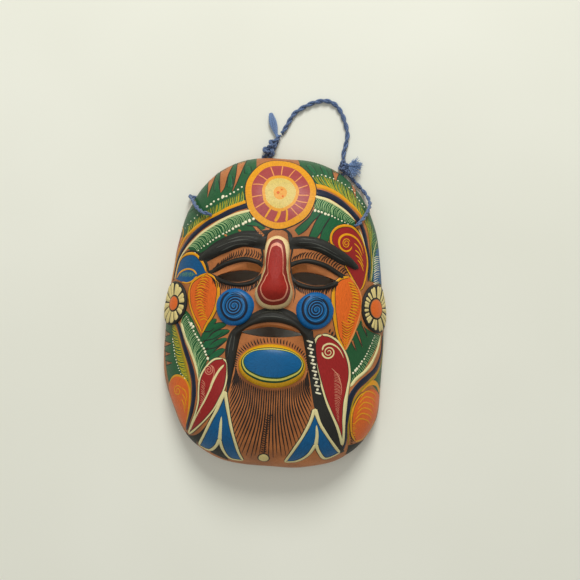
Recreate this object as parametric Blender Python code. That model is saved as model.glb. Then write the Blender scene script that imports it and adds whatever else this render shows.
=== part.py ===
"""Hand-modelled clay folk mask, lying on its back, with its blue hanging cord.

The wall is a hollow vault: a rounded-square outline that climbs steeply from the rim and is flat on
the crest. The face's raised features are separate slabs that follow the vault a hair's breadth above
it. Each cord hole takes one tie, and the two ties meet the hanging loop at two knots on the table.
Frame: X across the face, +Y towards the crown, +Z out of the face, the table at Z = 0.
"""
import math

import bmesh
import bpy
import numpy as np

MM = 0.001

# Outline of the rim and height of the vault, in millimetres
HALF_WIDTH = 72.0
WIDEST_Y = -18.0
CROWN_REACH = 120.0
CHIN_REACH = 84.0
CROWN_SQUARENESS = 2.6
CHIN_SQUARENESS = 2.85
TEMPLE_PINCH = 2.0
TEMPLE_Y = 27.0
TEMPLE_SPREAD = 26.0
VAULT_HEIGHT = 46.0
SIDE_FULLNESS = 2.0
END_FULLNESS = 3.6
WALL = 5.5

# The rim stands on its two straight sides and arches clear of the table at the crown and the chin
RIM_ARCH = 6.0
RIM_FLAT_TO = 35.0
RIM_ARCH_RUN = 65.0

# Soft swellings and hollows of the face: centre x, centre y, radius x, radius y, height
EYE_SOCKET = (23.0, 26.0, 17.0, 10.0, -2.5)
CHEEK_SWELL = (24.0, 2.0, 15.0, 13.0, 2.0)
MUZZLE_SWELL = (0.0, -16.0, 30.0, 22.0, 1.8)

# Gap between a raised feature and the wall, and between touching cord pieces
GAP = 0.5
CORD_GAP = 0.3

# Grid of the wall
AROUND = 56
OUTER_RINGS = 19
INNER_RINGS = 8

# Openings: outlines on the face, and the share of each slot's height that is left inside
EYE_LEFT = [(-36.5, 22.6), (-29.5, 27.2), (-20.0, 29.8), (-12.5, 28.8), (-9.2, 26.4), (-13.0, 21.0),
            (-23.5, 18.0), (-31.0, 19.4)]
EYE_RIGHT = [(8.2, 25.4), (11.5, 29.2), (18.5, 30.6), (28.0, 28.4), (37.6, 23.2), (31.5, 19.6),
             (23.0, 18.4), (13.0, 20.8)]
MOUTH = [(-19.4, -11.2), (-11.0, -7.8), (-1.7, -5.6), (9.0, -7.4), (17.8, -10.9), (9.0, -13.6),
         (-1.3, -14.4), (-11.0, -13.8)]
EYE_KEEP = 0.64
MOUTH_KEEP = 0.72
CUTTER_FLOOR = 27.0
CUTTER_RISE = 6.0
CORD_HOLE_DIAMETER = 5.4
HOLE_SIDES = 16
HOLE_LEFT = (-42.9, 59.0)
HOLE_RIGHT = (47.6, 57.4)

# Raised features: centreline points as (x, y, half width), and crest height
BROW_LEFT = [(-7.6, 43.4, 2.6), (-16.0, 44.0, 3.5), (-24.5, 42.8, 3.9), (-33.0, 39.0, 3.7),
             (-41.0, 35.2, 3.2), (-47.0, 32.0, 1.8)]
BROW_RIGHT = [(7.8, 44.2, 2.6), (16.5, 44.8, 3.5), (25.5, 43.2, 3.9), (34.0, 39.6, 3.7),
              (42.0, 35.4, 3.2), (49.5, 30.8, 1.8)]
BROW_HEIGHT = 3.4
UPPER_LID_LEFT = [(-39.5, 23.4, 0.9), (-32.0, 28.6, 1.3), (-21.0, 32.2, 1.5), (-12.0, 31.2, 1.2),
                  (-8.8, 29.8, 0.8)]
UPPER_LID_RIGHT = [(8.4, 29.4, 0.8), (12.5, 31.8, 1.2), (19.0, 33.2, 1.5), (29.5, 30.8, 1.3),
                   (40.5, 24.2, 0.9)]
UPPER_LID_HEIGHT = 2.2
LOWER_LID_LEFT = [(-37.0, 19.9, 0.8), (-31.0, 17.4, 1.0), (-23.0, 16.3, 1.0), (-15.5, 17.6, 1.0),
                  (-11.6, 20.2, 0.8)]
LOWER_LID_RIGHT = [(10.8, 20.2, 0.8), (14.6, 17.8, 1.0), (22.5, 16.6, 1.0), (31.0, 17.7, 1.0),
                   (37.4, 20.6, 0.8)]
LOWER_LID_HEIGHT = 1.4
MOUSTACHE = [(-25.2, -41.0, 1.3), (-24.8, -32.0, 2.4), (-25.0, -23.0, 3.6), (-23.8, -14.6, 3.0),
             (-18.6, -9.5, 1.4), (-11.6, -4.8, 2.2), (-1.0, -1.4, 3.7), (10.8, -4.2, 2.2),
             (17.2, -8.9, 1.4), (22.0, -14.2, 2.9), (23.4, -22.0, 3.2), (24.8, -31.0, 2.9),
             (28.4, -42.0, 2.4)]
MOUSTACHE_HEIGHT = 2.4

# Round and pear-shaped features, in millimetres
NOSE = [(-0.6, 47.6), (-6.2, 44.8), (-8.0, 39.0), (-7.4, 29.0), (-9.4, 20.0), (-12.6, 11.6),
        (-9.0, 4.6), (-0.8, 2.6), (7.6, 5.2), (10.6, 12.4), (8.0, 21.0), (7.0, 30.0), (7.4, 39.6),
        (5.2, 45.2)]
NOSE_CENTRE = (-0.8, 17.0)
NOSE_BRIDGE_HEIGHT = 5.0
NOSE_TIP_HEIGHT = 12.5
NOSE_TIP_Y = 13.5
LIP_CENTRE = (0.2, -31.6)
LIP_RADII = (20.4, 13.3)
LIP_HEIGHT = 6.0
CHEEK_LEFT = (-24.2, 2.9)
CHEEK_RIGHT = (24.6, 3.1)
CHEEK_RADIUS = 11.3
CHEEK_HEIGHT = 2.6
EAR_ROLL = math.radians(66.5)
EAR_LEFT_Y, EAR_LEFT_RADIUS = 2.6, 14.0
EAR_RIGHT_Y, EAR_RIGHT_RADIUS = 5.8, 15.4
EAR_THICKNESS = 1.8

# Cord, in millimetres; the routes are laid by hand from end to end
LOOP_DIAMETER = 3.2
TIE_DIAMETER = 2.6
REST = 0.5 * LOOP_DIAMETER
TIE_REST = 0.5 * TIE_DIAMETER
PATH_STEP = 6.5
LOOP_ROUTE = [(-2.0, 117.4, 1.9), (-0.2, 120.4, REST), (2.4, 125.6, REST), (5.6, 131.0, REST),
              (12.9, 136.4, REST), (20.2, 139.6, REST), (26.6, 140.4, REST), (32.2, 138.2, REST),
              (36.4, 133.0, REST), (39.2, 126.5, REST), (41.0, 120.0, REST), (40.7, 114.0, REST),
              (39.6, 108.8, REST), (39.2, 105.4, 1.8), (39.2, 102.7, 2.0)]
KNOT_LEFT = [(-10.9, 103.2, 2.6, 1.2), (-10.0, 104.8, 3.2, 3.1), (-8.7, 107.4, 3.6, 3.6),
             (-7.3, 109.9, 3.1, 2.5), (-6.4, 111.6, 3.0, 2.8), (-5.2, 113.7, 2.4, 1.9),
             (-4.8, 114.6, 2.2, 0.9)]
KNOT_RIGHT = [(39.3, 100.5, 2.6, 1.0), (39.4, 99.2, 2.9, 2.3), (39.8, 97.2, 3.1, 2.8),
              (40.5, 95.2, 2.9, 2.0), (40.9, 94.3, 2.8, 0.9)]
TAIL_LEFT = [(-6.2, 115.5, 1.6, 1.2), (-6.9, 118.5, 1.7, 1.5), (-7.9, 122.0, 1.9, 1.8),
             (-8.9, 125.4, 1.9, 1.8), (-9.8, 128.2, 1.5, 1.3), (-10.4, 130.0, 0.9, 0.7)]
TUFT_RIGHT = [(43.3, 98.1, 4.0, 1.2), (45.0, 97.2, 4.5, 2.5), (47.6, 95.6, 4.8, 3.4),
              (49.8, 93.8, 4.6, 3.0), (51.2, 92.4, 4.4, 1.4)]
TIE_LEFT_ROUTE = [(-13.0, 101.9, 2.2), (-15.4, 96.0, TIE_REST), (-22.0, 88.0, TIE_REST),
                  (-33.0, 80.4, TIE_REST), (-44.0, 75.4, TIE_REST), (-52.0, 72.8, TIE_REST),
                  (-57.2, 72.4, 1.4), (-59.8, 73.0, 4.2), (-58.8, 72.0, 9.6), (-57.0, 70.2, 14.6),
                  (-55.5, 67.8, 19.2), (-53.5, 64.9, 23.8), (-51.3, 62.6, 27.2),
                  (-48.8, 60.9, 30.6), (-46.2, 59.9, 33.4), (-43.9, 59.3, 33.2),
                  (-42.0, 58.6, 30.4), (-40.1, 57.7, 27.0), (-38.4, 57.0, 22.4),
                  (-37.0, 57.0, 16.0), (-35.4, 58.0, 9.4), (-33.2, 60.8, 3.6),
                  (-29.4, 66.0, TIE_REST), (-23.0, 75.0, TIE_REST), (-14.6, 85.0, TIE_REST),
                  (-10.2, 94.0, TIE_REST), (-9.2, 100.9, 1.9)]
TIE_RIGHT_ROUTE = [(42.7, 93.2, 2.4), (45.6, 90.0, 1.8), (49.2, 86.6, 1.8), (52.8, 83.0, 2.6),
                   (55.8, 78.8, 5.4), (57.4, 74.6, 9.8), (56.9, 70.6, 15.4), (55.2, 66.8, 20.8),
                   (53.2, 63.4, 25.4), (51.2, 60.6, 29.0), (49.4, 58.6, 31.2),
                   (47.7, 57.5, 29.8), (45.9, 56.8, 27.0), (44.1, 56.2, 23.6),
                   (42.2, 55.6, 18.0), (40.4, 56.2, 10.6), (38.8, 59.4, 4.2),
                   (37.6, 66.0, TIE_REST), (36.8, 76.0, TIE_REST), (37.0, 84.6, TIE_REST),
                   (38.4, 90.6, TIE_REST), (39.6, 93.1, 1.4)]

# Finishes: base colour, roughness, metallic
TERRACOTTA = ((0.36, 0.14, 0.065), 0.7, 0.0)
DARK_RED = ((0.32, 0.02, 0.02), 0.35, 0.0)
BLACK = ((0.02, 0.02, 0.02), 0.4, 0.0)
BLUE = ((0.0, 0.12, 0.45), 0.35, 0.0)
CREAM = ((0.75, 0.62, 0.3), 0.4, 0.0)
CORD_BLUE = ((0.05, 0.11, 0.32), 0.6, 0.0)


def clear_scene():
    for item in list(bpy.data.objects):
        bpy.data.objects.remove(item, do_unlink=True)


def smoothstep(value):
    value = np.clip(value, 0.0, 1.0)
    return value * value * (3.0 - 2.0 * value)


def side_width(y):
    """Half width of the widest section, pulled in a little at the temples."""
    return HALF_WIDTH - TEMPLE_PINCH * np.exp(-(((y - TEMPLE_Y) / TEMPLE_SPREAD) ** 2))


def gauge(x, y):
    """0 at the middle of the vault, 1 on the rim: a superellipse measure, squarer at the chin."""
    up = y > WIDEST_Y
    reach = np.where(up, CROWN_REACH, CHIN_REACH)
    power = np.where(up, CROWN_SQUARENESS, CHIN_SQUARENESS)
    across = np.abs(x) / side_width(y)
    along = np.abs(y - WIDEST_Y) / reach
    return (across**power + along**power) ** (1.0 / power)


def rim_height(y):
    return RIM_ARCH * smoothstep((np.abs(y) - RIM_FLAT_TO) / RIM_ARCH_RUN)


def fullness(x, y):
    """Exponent of the vault's profile: an ellipse towards the sides, flatter towards the ends."""
    reach = np.where(y > WIDEST_Y, CROWN_REACH, CHIN_REACH)
    share = np.abs(y - WIDEST_Y) / reach / np.maximum(gauge(x, y), 1e-6)
    return SIDE_FULLNESS + (END_FULLNESS - SIDE_FULLNESS) * share**2


def swell(x, y, spec):
    cx, cy, rx, ry, height = spec
    return height * np.exp(-(((x - cx) / rx) ** 2) - ((y - cy) / ry) ** 2)


def relief(x, y):
    """Hollows and swellings of the face, the same on both sides."""
    return (swell(np.abs(x), y, EYE_SOCKET) + swell(np.abs(x), y, CHEEK_SWELL)
            + swell(x, y, MUZZLE_SWELL))


def height(x, y):
    """Height of the outer skin: rim height at the rim, rising as the root of 1 - gauge^fullness."""
    rim = rim_height(y)
    rise = np.sqrt(np.maximum(1.0 - np.minimum(gauge(x, y), 1.0) ** fullness(x, y), 0.0))
    return rim + (VAULT_HEIGHT - rim) * rise + relief(x, y) * rise


def implicit(x, y, z):
    """Zero on the outer skin and growing outwards, with a gradient that stays finite at the rim."""
    rim = rim_height(y)
    rise = (z - rim) / (VAULT_HEIGHT - rim + relief(x, y))
    return rise * np.abs(rise) + gauge(x, y) ** fullness(x, y) - 1.0


def normal(x, y, z):
    step = 0.01
    grad = np.stack([implicit(x + step, y, z) - implicit(x - step, y, z),
                     implicit(x, y + step, z) - implicit(x, y - step, z),
                     implicit(x, y, z + step) - implicit(x, y, z - step)], axis=-1)
    return grad / np.linalg.norm(grad, axis=-1, keepdims=True)


def lifted(x, y, lift):
    """Points of the outer skin over (x, y), moved along the skin's normal by lift."""
    z = height(x, y)
    return np.stack([x, y, z], axis=-1) + normal(x, y, z) * np.asarray(lift)[..., None]


def material(name, finish):
    colour, roughness, metallic = finish
    made = bpy.data.materials.new(name)
    made.use_nodes = True
    shader = made.node_tree.nodes["Principled BSDF"]
    shader.inputs["Base Color"].default_value = (*colour, 1.0)
    shader.inputs["Roughness"].default_value = roughness
    shader.inputs["Metallic"].default_value = metallic
    made.diffuse_color = (*colour, 1.0)
    return made


def mesh_object(name, points, faces, finish):
    """One closed object from points in millimetres, with its faces turned outwards."""
    mesh = bpy.data.meshes.new(name)
    mesh.from_pydata([tuple(p) for p in np.asarray(points) * MM], [], faces)
    work = bmesh.new()
    work.from_mesh(mesh)
    bmesh.ops.recalc_face_normals(work, faces=work.faces)
    work.to_mesh(mesh)
    work.free()
    mesh.shade_smooth()
    mesh.set_sharp_from_angle(angle=math.radians(40.0))
    made = bpy.data.objects.new(name, mesh)
    made.data.materials.append(material(name + "_finish", finish))
    bpy.context.scene.collection.objects.link(made)
    return made


def ring_faces(first, second, count):
    """Quads between two rings of count points that start at these numbers."""
    return [(first + i, first + (i + 1) % count, second + (i + 1) % count, second + i)
            for i in range(count)]


def wall_rings(share):
    """Rings of skin points: share is each ring's gauge, one row of AROUND points for each."""
    turn = np.arange(AROUND) * 2.0 * math.pi / AROUND
    across, along = np.cos(turn), np.sin(turn)
    power = np.where(along > 0, CROWN_SQUARENESS, CHIN_SQUARENESS)
    reach = np.where(along > 0, CROWN_REACH, CHIN_REACH)
    norm = (np.abs(across) ** power + np.abs(along) ** power) ** (1.0 / power)
    y = WIDEST_Y + share[:, None] * (reach * along / norm)[None, :]
    x = share[:, None] * (across / norm)[None, :] * side_width(y)
    return x, y


def make_wall():
    """Outer skin, inner skin one wall thickness inside it, and the rim that joins them."""
    steps = np.linspace(0.0, 1.0, OUTER_RINGS + 1)[1:]
    share = steps + 0.16 * np.sin(math.pi * steps) * steps
    x, y = wall_rings(np.minimum(share, 1.0))
    outer = lifted(x, y, np.zeros_like(x))
    steps = np.linspace(0.0, 1.0, INNER_RINGS + 1)[1:]
    share = steps + 0.16 * np.sin(math.pi * steps) * steps
    x, y = wall_rings(np.minimum(share, 1.0))
    inner = lifted(x, y, np.full_like(x, -WALL))
    middle = np.array([0.0]), np.array([WIDEST_Y])
    crest = lifted(*middle, np.array([0.0]))
    hollow = lifted(*middle, np.array([-WALL]))
    points = np.concatenate([outer.reshape(-1, 3), inner.reshape(-1, 3), crest, hollow])
    start = OUTER_RINGS * AROUND
    crest_at = start + INNER_RINGS * AROUND
    faces = [(crest_at, i, (i + 1) % AROUND) for i in range(AROUND)]
    faces += [(crest_at + 1, start + (i + 1) % AROUND, start + i) for i in range(AROUND)]
    for ring in range(OUTER_RINGS - 1):
        faces += ring_faces((ring + 1) * AROUND, ring * AROUND, AROUND)
    for ring in range(INNER_RINGS - 1):
        faces += ring_faces(start + ring * AROUND, start + (ring + 1) * AROUND, AROUND)
    faces += ring_faces(crest_at - AROUND, start - AROUND, AROUND)
    return mesh_object("mask_shell", points, faces, TERRACOTTA)


def closed_curve(points, count):
    """Evenly stepped points on a closed smooth curve (Catmull-Rom) through the given ones."""
    knots = np.asarray(points, float)
    step = np.arange(count) * len(knots) / count
    base = step.astype(int)
    t = (step - base)[:, None]
    p0, p1, p2, p3 = (knots[(base + k) % len(knots)] for k in (-1, 0, 1, 2))
    return 0.5 * (2 * p1 + (p2 - p0) * t + (2 * p0 - 5 * p1 + 4 * p2 - p3) * t**2
                  + (3 * p1 - p0 - 3 * p2 + p3) * t**3)


def open_curve(points, step):
    """Points about step apart on a smooth open curve through the given ones, all columns alike."""
    knots = np.asarray(points, float)
    knots = np.vstack([2 * knots[0] - knots[1], knots, 2 * knots[-1] - knots[-2]])
    t = np.linspace(0.0, 1.0, 25)[:-1, None]
    dense = []
    for p0, p1, p2, p3 in zip(knots, knots[1:], knots[2:], knots[3:]):
        dense.append(0.5 * (2 * p1 + (p2 - p0) * t + (2 * p0 - 5 * p1 + 4 * p2 - p3) * t**2
                            + (3 * p1 - p0 - 3 * p2 + p3) * t**3))
    dense = np.vstack(dense + [knots[-2:-1]])
    run = np.concatenate([[0.0], np.cumsum(np.linalg.norm(np.diff(dense[:, :3], axis=0), axis=1))])
    marks = np.linspace(0.0, run[-1], max(int(round(run[-1] / step)), 2) + 1)
    return np.stack([np.interp(marks, run, column) for column in dense.T], axis=1)


def slot_cutter(outline, keep):
    """Upright cutter over an outline; its upper side leans, so only a share keep of the slot's
    height is left at the inner skin. Gives its points and faces."""
    rim = closed_curve(outline, 28)
    low = rim[:, 1].min()
    face = float(height(*rim.mean(axis=0)))
    lean = (1.0 - keep) / WALL
    rings = []
    for z, shrink in ((CUTTER_FLOOR, keep), (face - WALL, keep),
                      (face + CUTTER_RISE, 1.0 + lean * CUTTER_RISE)):
        y = low + (rim[:, 1] - low) * shrink
        rings.append(np.column_stack([rim[:, 0], y, np.full(len(rim), z)]))
    count = len(rim)
    faces = [tuple(range(count)), tuple(reversed(range(2 * count, 3 * count)))]
    faces += ring_faces(0, count, count) + ring_faces(count, 2 * count, count)
    return np.vstack(rings), faces


def hole_cutter(place):
    """Round cutter along the wall's normal. Gives its points and faces."""
    x, y = (np.array([value]) for value in place)
    z = height(x, y)
    out = normal(x, y, z)[0]
    side = np.cross(out, (0.0, 0.0, 1.0))
    side /= np.linalg.norm(side)
    other = np.cross(out, side)
    turn = np.arange(HOLE_SIDES)[:, None] * 2.0 * math.pi / HOLE_SIDES
    circle = 0.5 * CORD_HOLE_DIAMETER * (np.cos(turn) * side + np.sin(turn) * other)
    middle = np.array([x[0], y[0], z[0]])
    points = np.vstack([middle - 2.5 * WALL * out + circle, middle + WALL * out + circle])
    faces = [tuple(range(HOLE_SIDES)), tuple(reversed(range(HOLE_SIDES, 2 * HOLE_SIDES)))]
    return points, faces + ring_faces(0, HOLE_SIDES, HOLE_SIDES)


def cut_openings(shell):
    """All the openings are cut at once, by one hidden cutter of five separate bodies."""
    points, faces, start = [], [], 0
    for more, sides in (slot_cutter(EYE_LEFT, EYE_KEEP), slot_cutter(EYE_RIGHT, EYE_KEEP),
                        slot_cutter(MOUTH, MOUTH_KEEP), hole_cutter(HOLE_LEFT),
                        hole_cutter(HOLE_RIGHT)):
        points.append(more)
        faces += [tuple(start + i for i in side) for side in sides]
        start += len(more)
    cutter = mesh_object("openings_cutter", np.vstack(points), faces, TERRACOTTA)
    cutter.hide_render = True
    cutter.display_type = "WIRE"
    boolean = shell.modifiers.new("openings", "BOOLEAN")
    boolean.operation = "DIFFERENCE"
    boolean.solver = "EXACT"
    boolean.object = cutter


def slab(name, x, y, rise, finish):
    """Closed slab over a grid of places: its back follows the wall, its front stands rise above."""
    rows, columns = x.shape
    back = lifted(x, y, np.full_like(x, GAP)).reshape(-1, 3)
    front = lifted(x, y, GAP + rise).reshape(-1, 3)
    size = rows * columns
    faces = []
    for r in range(rows - 1):
        for c in range(columns - 1):
            a = r * columns + c
            quad = (a, a + 1, a + columns + 1, a + columns)
            faces.append(tuple(reversed(quad)))
            faces.append(tuple(size + i for i in quad))
    edge = list(range(columns)) + [r * columns + columns - 1 for r in range(1, rows)]
    edge += [(rows - 1) * columns + c for c in range(columns - 2, -1, -1)]
    edge += [r * columns for r in range(rows - 2, 0, -1)]
    for a, b in zip(edge, edge[1:] + edge[:1]):
        faces.append((a, b, size + b, size + a))
    return mesh_object(name, np.vstack([back, front]), faces, finish)


def ridge(name, line, crest, finish, step=4.0, columns=5):
    """Rounded ridge along a centreline of (x, y, half width), tapering to its two ends."""
    path = open_curve(line, step)
    middle, half = path[:, :2], path[:, 2:3]
    along = np.gradient(middle, axis=0)
    along /= np.linalg.norm(along, axis=1, keepdims=True)
    side = np.column_stack([-along[:, 1], along[:, 0]])
    across = np.linspace(-1.0, 1.0, columns)
    x = middle[:, :1] + side[:, :1] * half * across
    y = middle[:, 1:] + side[:, 1:] * half * across
    share = np.linspace(0.0, 1.0, len(path))[:, None]
    taper = np.minimum(1.0, 6.0 * np.minimum(share, 1.0 - share) + 0.25)
    rise = crest * taper * (0.18 + 0.82 * np.sqrt(1.0 - across**2)[None, :])
    return slab(name, x, y, rise, finish)


def button(name, x_at, y_at, rise_at, finish, around=24, rings=4):
    """Closed round boss: x_at, y_at and rise_at take the share of the radius and the turn."""
    turn = np.arange(around)[None, :] * 2.0 * math.pi / around
    share = np.linspace(0.0, 1.0, rings + 1)[1:, None]
    x, y = x_at(share, turn), y_at(share, turn)
    front = lifted(x, y, GAP + rise_at(share, turn)).reshape(-1, 3)
    back = lifted(x, y, np.full_like(x, GAP)).reshape(-1, 3)
    zero = np.zeros((1, 1))
    middle = x_at(zero, zero), y_at(zero, zero)
    top = lifted(*middle, GAP + rise_at(zero, zero)).reshape(1, 3)
    bottom = lifted(*middle, np.full((1, 1), GAP)).reshape(1, 3)
    size = rings * around
    points = np.vstack([front, back, top, bottom])
    faces = [(2 * size, i, (i + 1) % around) for i in range(around)]
    faces += [(2 * size + 1, size + (i + 1) % around, size + i) for i in range(around)]
    for ring in range(rings - 1):
        faces += ring_faces(ring * around, (ring + 1) * around, around)
        faces += ring_faces(size + (ring + 1) * around, size + ring * around, around)
    faces += ring_faces(size - around, 2 * size - around, around)
    return mesh_object(name, points, faces, finish)


def make_nose():
    """Pear outline: a low narrow bridge that swells into a round tip over the moustache."""
    around = 30
    rim = closed_curve(NOSE, around)

    def x_at(share, turn):
        if turn.size == 1:
            return np.full((1, 1), NOSE_CENTRE[0])
        return NOSE_CENTRE[0] + share * (rim[:, 0] - NOSE_CENTRE[0])[None, :]

    def y_at(share, turn):
        if turn.size == 1:
            return np.full((1, 1), NOSE_CENTRE[1])
        return NOSE_CENTRE[1] + share * (rim[:, 1] - NOSE_CENTRE[1])[None, :]

    def rise_at(share, turn):
        y = y_at(share, turn)
        reach = np.where(y > NOSE_TIP_Y, 20.0, 9.0)
        tip = np.exp(-(((y - NOSE_TIP_Y) / reach) ** 2))
        crest = NOSE_BRIDGE_HEIGHT + (NOSE_TIP_HEIGHT - NOSE_BRIDGE_HEIGHT) * tip
        return crest * (0.14 + 0.86 * np.sqrt(np.maximum(1.0 - share**2.4, 0.0)))

    return button("nose", x_at, y_at, rise_at, DARK_RED, around, 6)


def make_oval(name, centre, radii, crest, finish):
    def rise_at(share, turn):
        return crest * (0.2 + 0.8 * np.sqrt(np.maximum(1.0 - share**3, 0.0))) + 0.0 * turn

    return button(name, lambda s, t: centre[0] + radii[0] * s * np.cos(t),
                  lambda s, t: centre[1] + radii[1] * s * np.sin(t), rise_at, finish)


def make_ear(name, side, middle_y, radius):
    """Round disc rolled over the steep side: the roll angle grows down the side's ellipse."""
    arm = math.hypot(HALF_WIDTH * math.cos(EAR_ROLL), VAULT_HEIGHT * math.sin(EAR_ROLL))

    def y_at(share, turn):
        return middle_y + radius * share * np.sin(turn)

    def x_at(share, turn):
        roll = EAR_ROLL + radius * share * np.cos(turn) / arm
        across = np.sin(np.minimum(roll, math.radians(86.0)))
        y = y_at(share, turn)
        along = np.where(y > WIDEST_Y, (y - WIDEST_Y) / CROWN_REACH, 0.0)
        power = CROWN_SQUARENESS
        return side * side_width(y) * (across**power - across**power * along**power) ** (1 / power)

    def rise_at(share, turn):
        return EAR_THICKNESS * (0.35 + 0.65 * np.sqrt(np.maximum(1.0 - share**4, 0.0))) + 0.0 * turn

    return button(name, x_at, y_at, rise_at, CREAM)


def make_cord(name, route, diameter):
    """Round tube on a smooth route."""
    path = open_curve(route, PATH_STEP)
    return swept(name, np.column_stack([path, np.full(len(path), 0.5 * diameter)]), 2)


def make_blob(name, stations):
    """Knotted or frayed piece: a tube whose stations are (x, y, z, radius)."""
    return swept(name, open_curve(stations, 2.2), 2)


def swept(name, stations, resolution):
    curve = bpy.data.curves.new(name, "CURVE")
    curve.dimensions = "3D"
    curve.bevel_depth = MM
    curve.bevel_resolution = resolution
    curve.use_fill_caps = True
    spline = curve.splines.new("POLY")
    spline.points.add(len(stations) - 1)
    for point, (x, y, z, radius) in zip(spline.points, stations):
        point.co = (x * MM, y * MM, z * MM, 1.0)
        point.radius = radius
    made = bpy.data.objects.new(name, curve)
    curve.materials.append(material(name + "_finish", CORD_BLUE))
    bpy.context.scene.collection.objects.link(made)
    return made


def main():
    clear_scene()
    cut_openings(make_wall())
    make_nose()
    ridge("brow_left", BROW_LEFT, BROW_HEIGHT, BLACK)
    ridge("brow_right", BROW_RIGHT, BROW_HEIGHT, BLACK)
    ridge("upper_lid_left", UPPER_LID_LEFT, UPPER_LID_HEIGHT, BLACK)
    ridge("upper_lid_right", UPPER_LID_RIGHT, UPPER_LID_HEIGHT, BLACK)
    ridge("lower_lid_left", LOWER_LID_LEFT, LOWER_LID_HEIGHT, BLACK)
    ridge("lower_lid_right", LOWER_LID_RIGHT, LOWER_LID_HEIGHT, BLACK)
    ridge("moustache", MOUSTACHE, MOUSTACHE_HEIGHT, BLACK)
    make_oval("lip_boss", LIP_CENTRE, LIP_RADII, LIP_HEIGHT, BLUE)
    cheek = (CHEEK_RADIUS, CHEEK_RADIUS)
    make_oval("cheek_left", CHEEK_LEFT, cheek, CHEEK_HEIGHT, BLUE)
    make_oval("cheek_right", CHEEK_RIGHT, cheek, CHEEK_HEIGHT, BLUE)
    make_ear("ear_rosette_left", -1.0, EAR_LEFT_Y, EAR_LEFT_RADIUS)
    make_ear("ear_rosette_right", 1.0, EAR_RIGHT_Y, EAR_RIGHT_RADIUS)
    make_cord("hanger_loop", LOOP_ROUTE, LOOP_DIAMETER)
    make_cord("tie_left", TIE_LEFT_ROUTE, TIE_DIAMETER)
    make_cord("tie_right", TIE_RIGHT_ROUTE, TIE_DIAMETER)
    make_blob("knot_left", KNOT_LEFT)
    make_blob("knot_right", KNOT_RIGHT)
    make_blob("tail_left", TAIL_LEFT)
    make_blob("tuft_right", TUFT_RIGHT)


main()
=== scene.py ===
"""Clay, paintwork and cord of the hand-modelled folk mask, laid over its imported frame.

The wall, its raised features and every brush stroke are surfaces that follow one formula for the
vault. Paint is laid as the painter laid it: ground fields, then leaves, bands, lines and dots, each
layer a hair above the last. Lengths are in millimetres until a mesh is made.
"""
import math

import bmesh
import bpy
import mathutils
import numpy as np
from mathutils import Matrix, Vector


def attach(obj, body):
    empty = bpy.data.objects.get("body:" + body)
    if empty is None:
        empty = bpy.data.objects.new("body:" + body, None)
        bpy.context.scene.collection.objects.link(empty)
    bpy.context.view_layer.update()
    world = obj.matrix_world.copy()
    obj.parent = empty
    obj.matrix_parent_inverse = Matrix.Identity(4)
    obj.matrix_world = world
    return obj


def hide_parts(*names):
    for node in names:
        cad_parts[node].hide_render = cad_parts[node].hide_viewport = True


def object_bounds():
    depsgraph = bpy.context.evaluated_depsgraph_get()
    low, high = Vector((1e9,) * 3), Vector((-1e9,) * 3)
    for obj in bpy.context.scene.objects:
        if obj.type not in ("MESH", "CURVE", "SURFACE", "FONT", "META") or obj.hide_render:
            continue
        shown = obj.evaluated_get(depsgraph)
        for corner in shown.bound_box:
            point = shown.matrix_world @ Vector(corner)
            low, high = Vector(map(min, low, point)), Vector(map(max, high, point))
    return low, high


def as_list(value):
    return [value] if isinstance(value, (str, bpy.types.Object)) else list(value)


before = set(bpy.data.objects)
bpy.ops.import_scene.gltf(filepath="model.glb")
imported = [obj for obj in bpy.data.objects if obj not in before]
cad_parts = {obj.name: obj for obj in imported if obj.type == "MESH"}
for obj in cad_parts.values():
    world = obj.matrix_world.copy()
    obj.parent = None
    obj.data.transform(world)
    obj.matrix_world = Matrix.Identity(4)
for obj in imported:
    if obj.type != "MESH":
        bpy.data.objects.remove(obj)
cad_box = [list(corner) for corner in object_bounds()]

MM = 0.001
rng = np.random.default_rng(7)


# ---------------------------------------------------------------- the vault, as in the CAD source

HALF_WIDTH, WIDEST_Y, CROWN_REACH, CHIN_REACH = 72.0, -18.0, 118.0, 82.0
CROWN_SQUARENESS, CHIN_SQUARENESS = 2.65, 2.85
CHIN_SWAY, SWAY_FROM, SWAY_RUN = 3.4, -38.0, 32.0
TEMPLE_PINCH, TEMPLE_Y, TEMPLE_SPREAD = 2.0, 27.0, 26.0
VAULT_HEIGHT, SIDE_FULLNESS, END_FULLNESS, WALL = 46.0, 2.0, 3.6, 5.5
RIM_ARCH, RIM_FLAT_TO, RIM_ARCH_RUN = 6.0, 35.0, 65.0
SWELLS = [(23.0, 26.0, 17.0, 10.0, -2.5), (24.0, 2.0, 15.0, 13.0, 2.0)]
MUZZLE = (0.0, -16.0, 30.0, 22.0, 1.8)


def smoothstep(value):
    value = np.clip(value, 0.0, 1.0)
    return value * value * (3.0 - 2.0 * value)


def side_width(y):
    return HALF_WIDTH - TEMPLE_PINCH * np.exp(-(((y - TEMPLE_Y) / TEMPLE_SPREAD) ** 2))


def sway(y):
    """Sideways lean of the hand-made outline: none above SWAY_FROM, CHIN_SWAY at the chin."""
    return CHIN_SWAY * smoothstep((SWAY_FROM - y) / SWAY_RUN)


def gauge(x, y):
    """0 at the middle of the vault and 1 on the rim: a superellipse, squarer at the chin."""
    up = y > WIDEST_Y
    reach = np.where(up, CROWN_REACH, CHIN_REACH)
    power = np.where(up, CROWN_SQUARENESS, CHIN_SQUARENESS)
    across, along = np.abs(x - sway(y)) / side_width(y), np.abs(y - WIDEST_Y) / reach
    return (across**power + along**power) ** (1.0 / power)


def rim_height(y):
    return RIM_ARCH * smoothstep((np.abs(y) - RIM_FLAT_TO) / RIM_ARCH_RUN)


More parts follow.
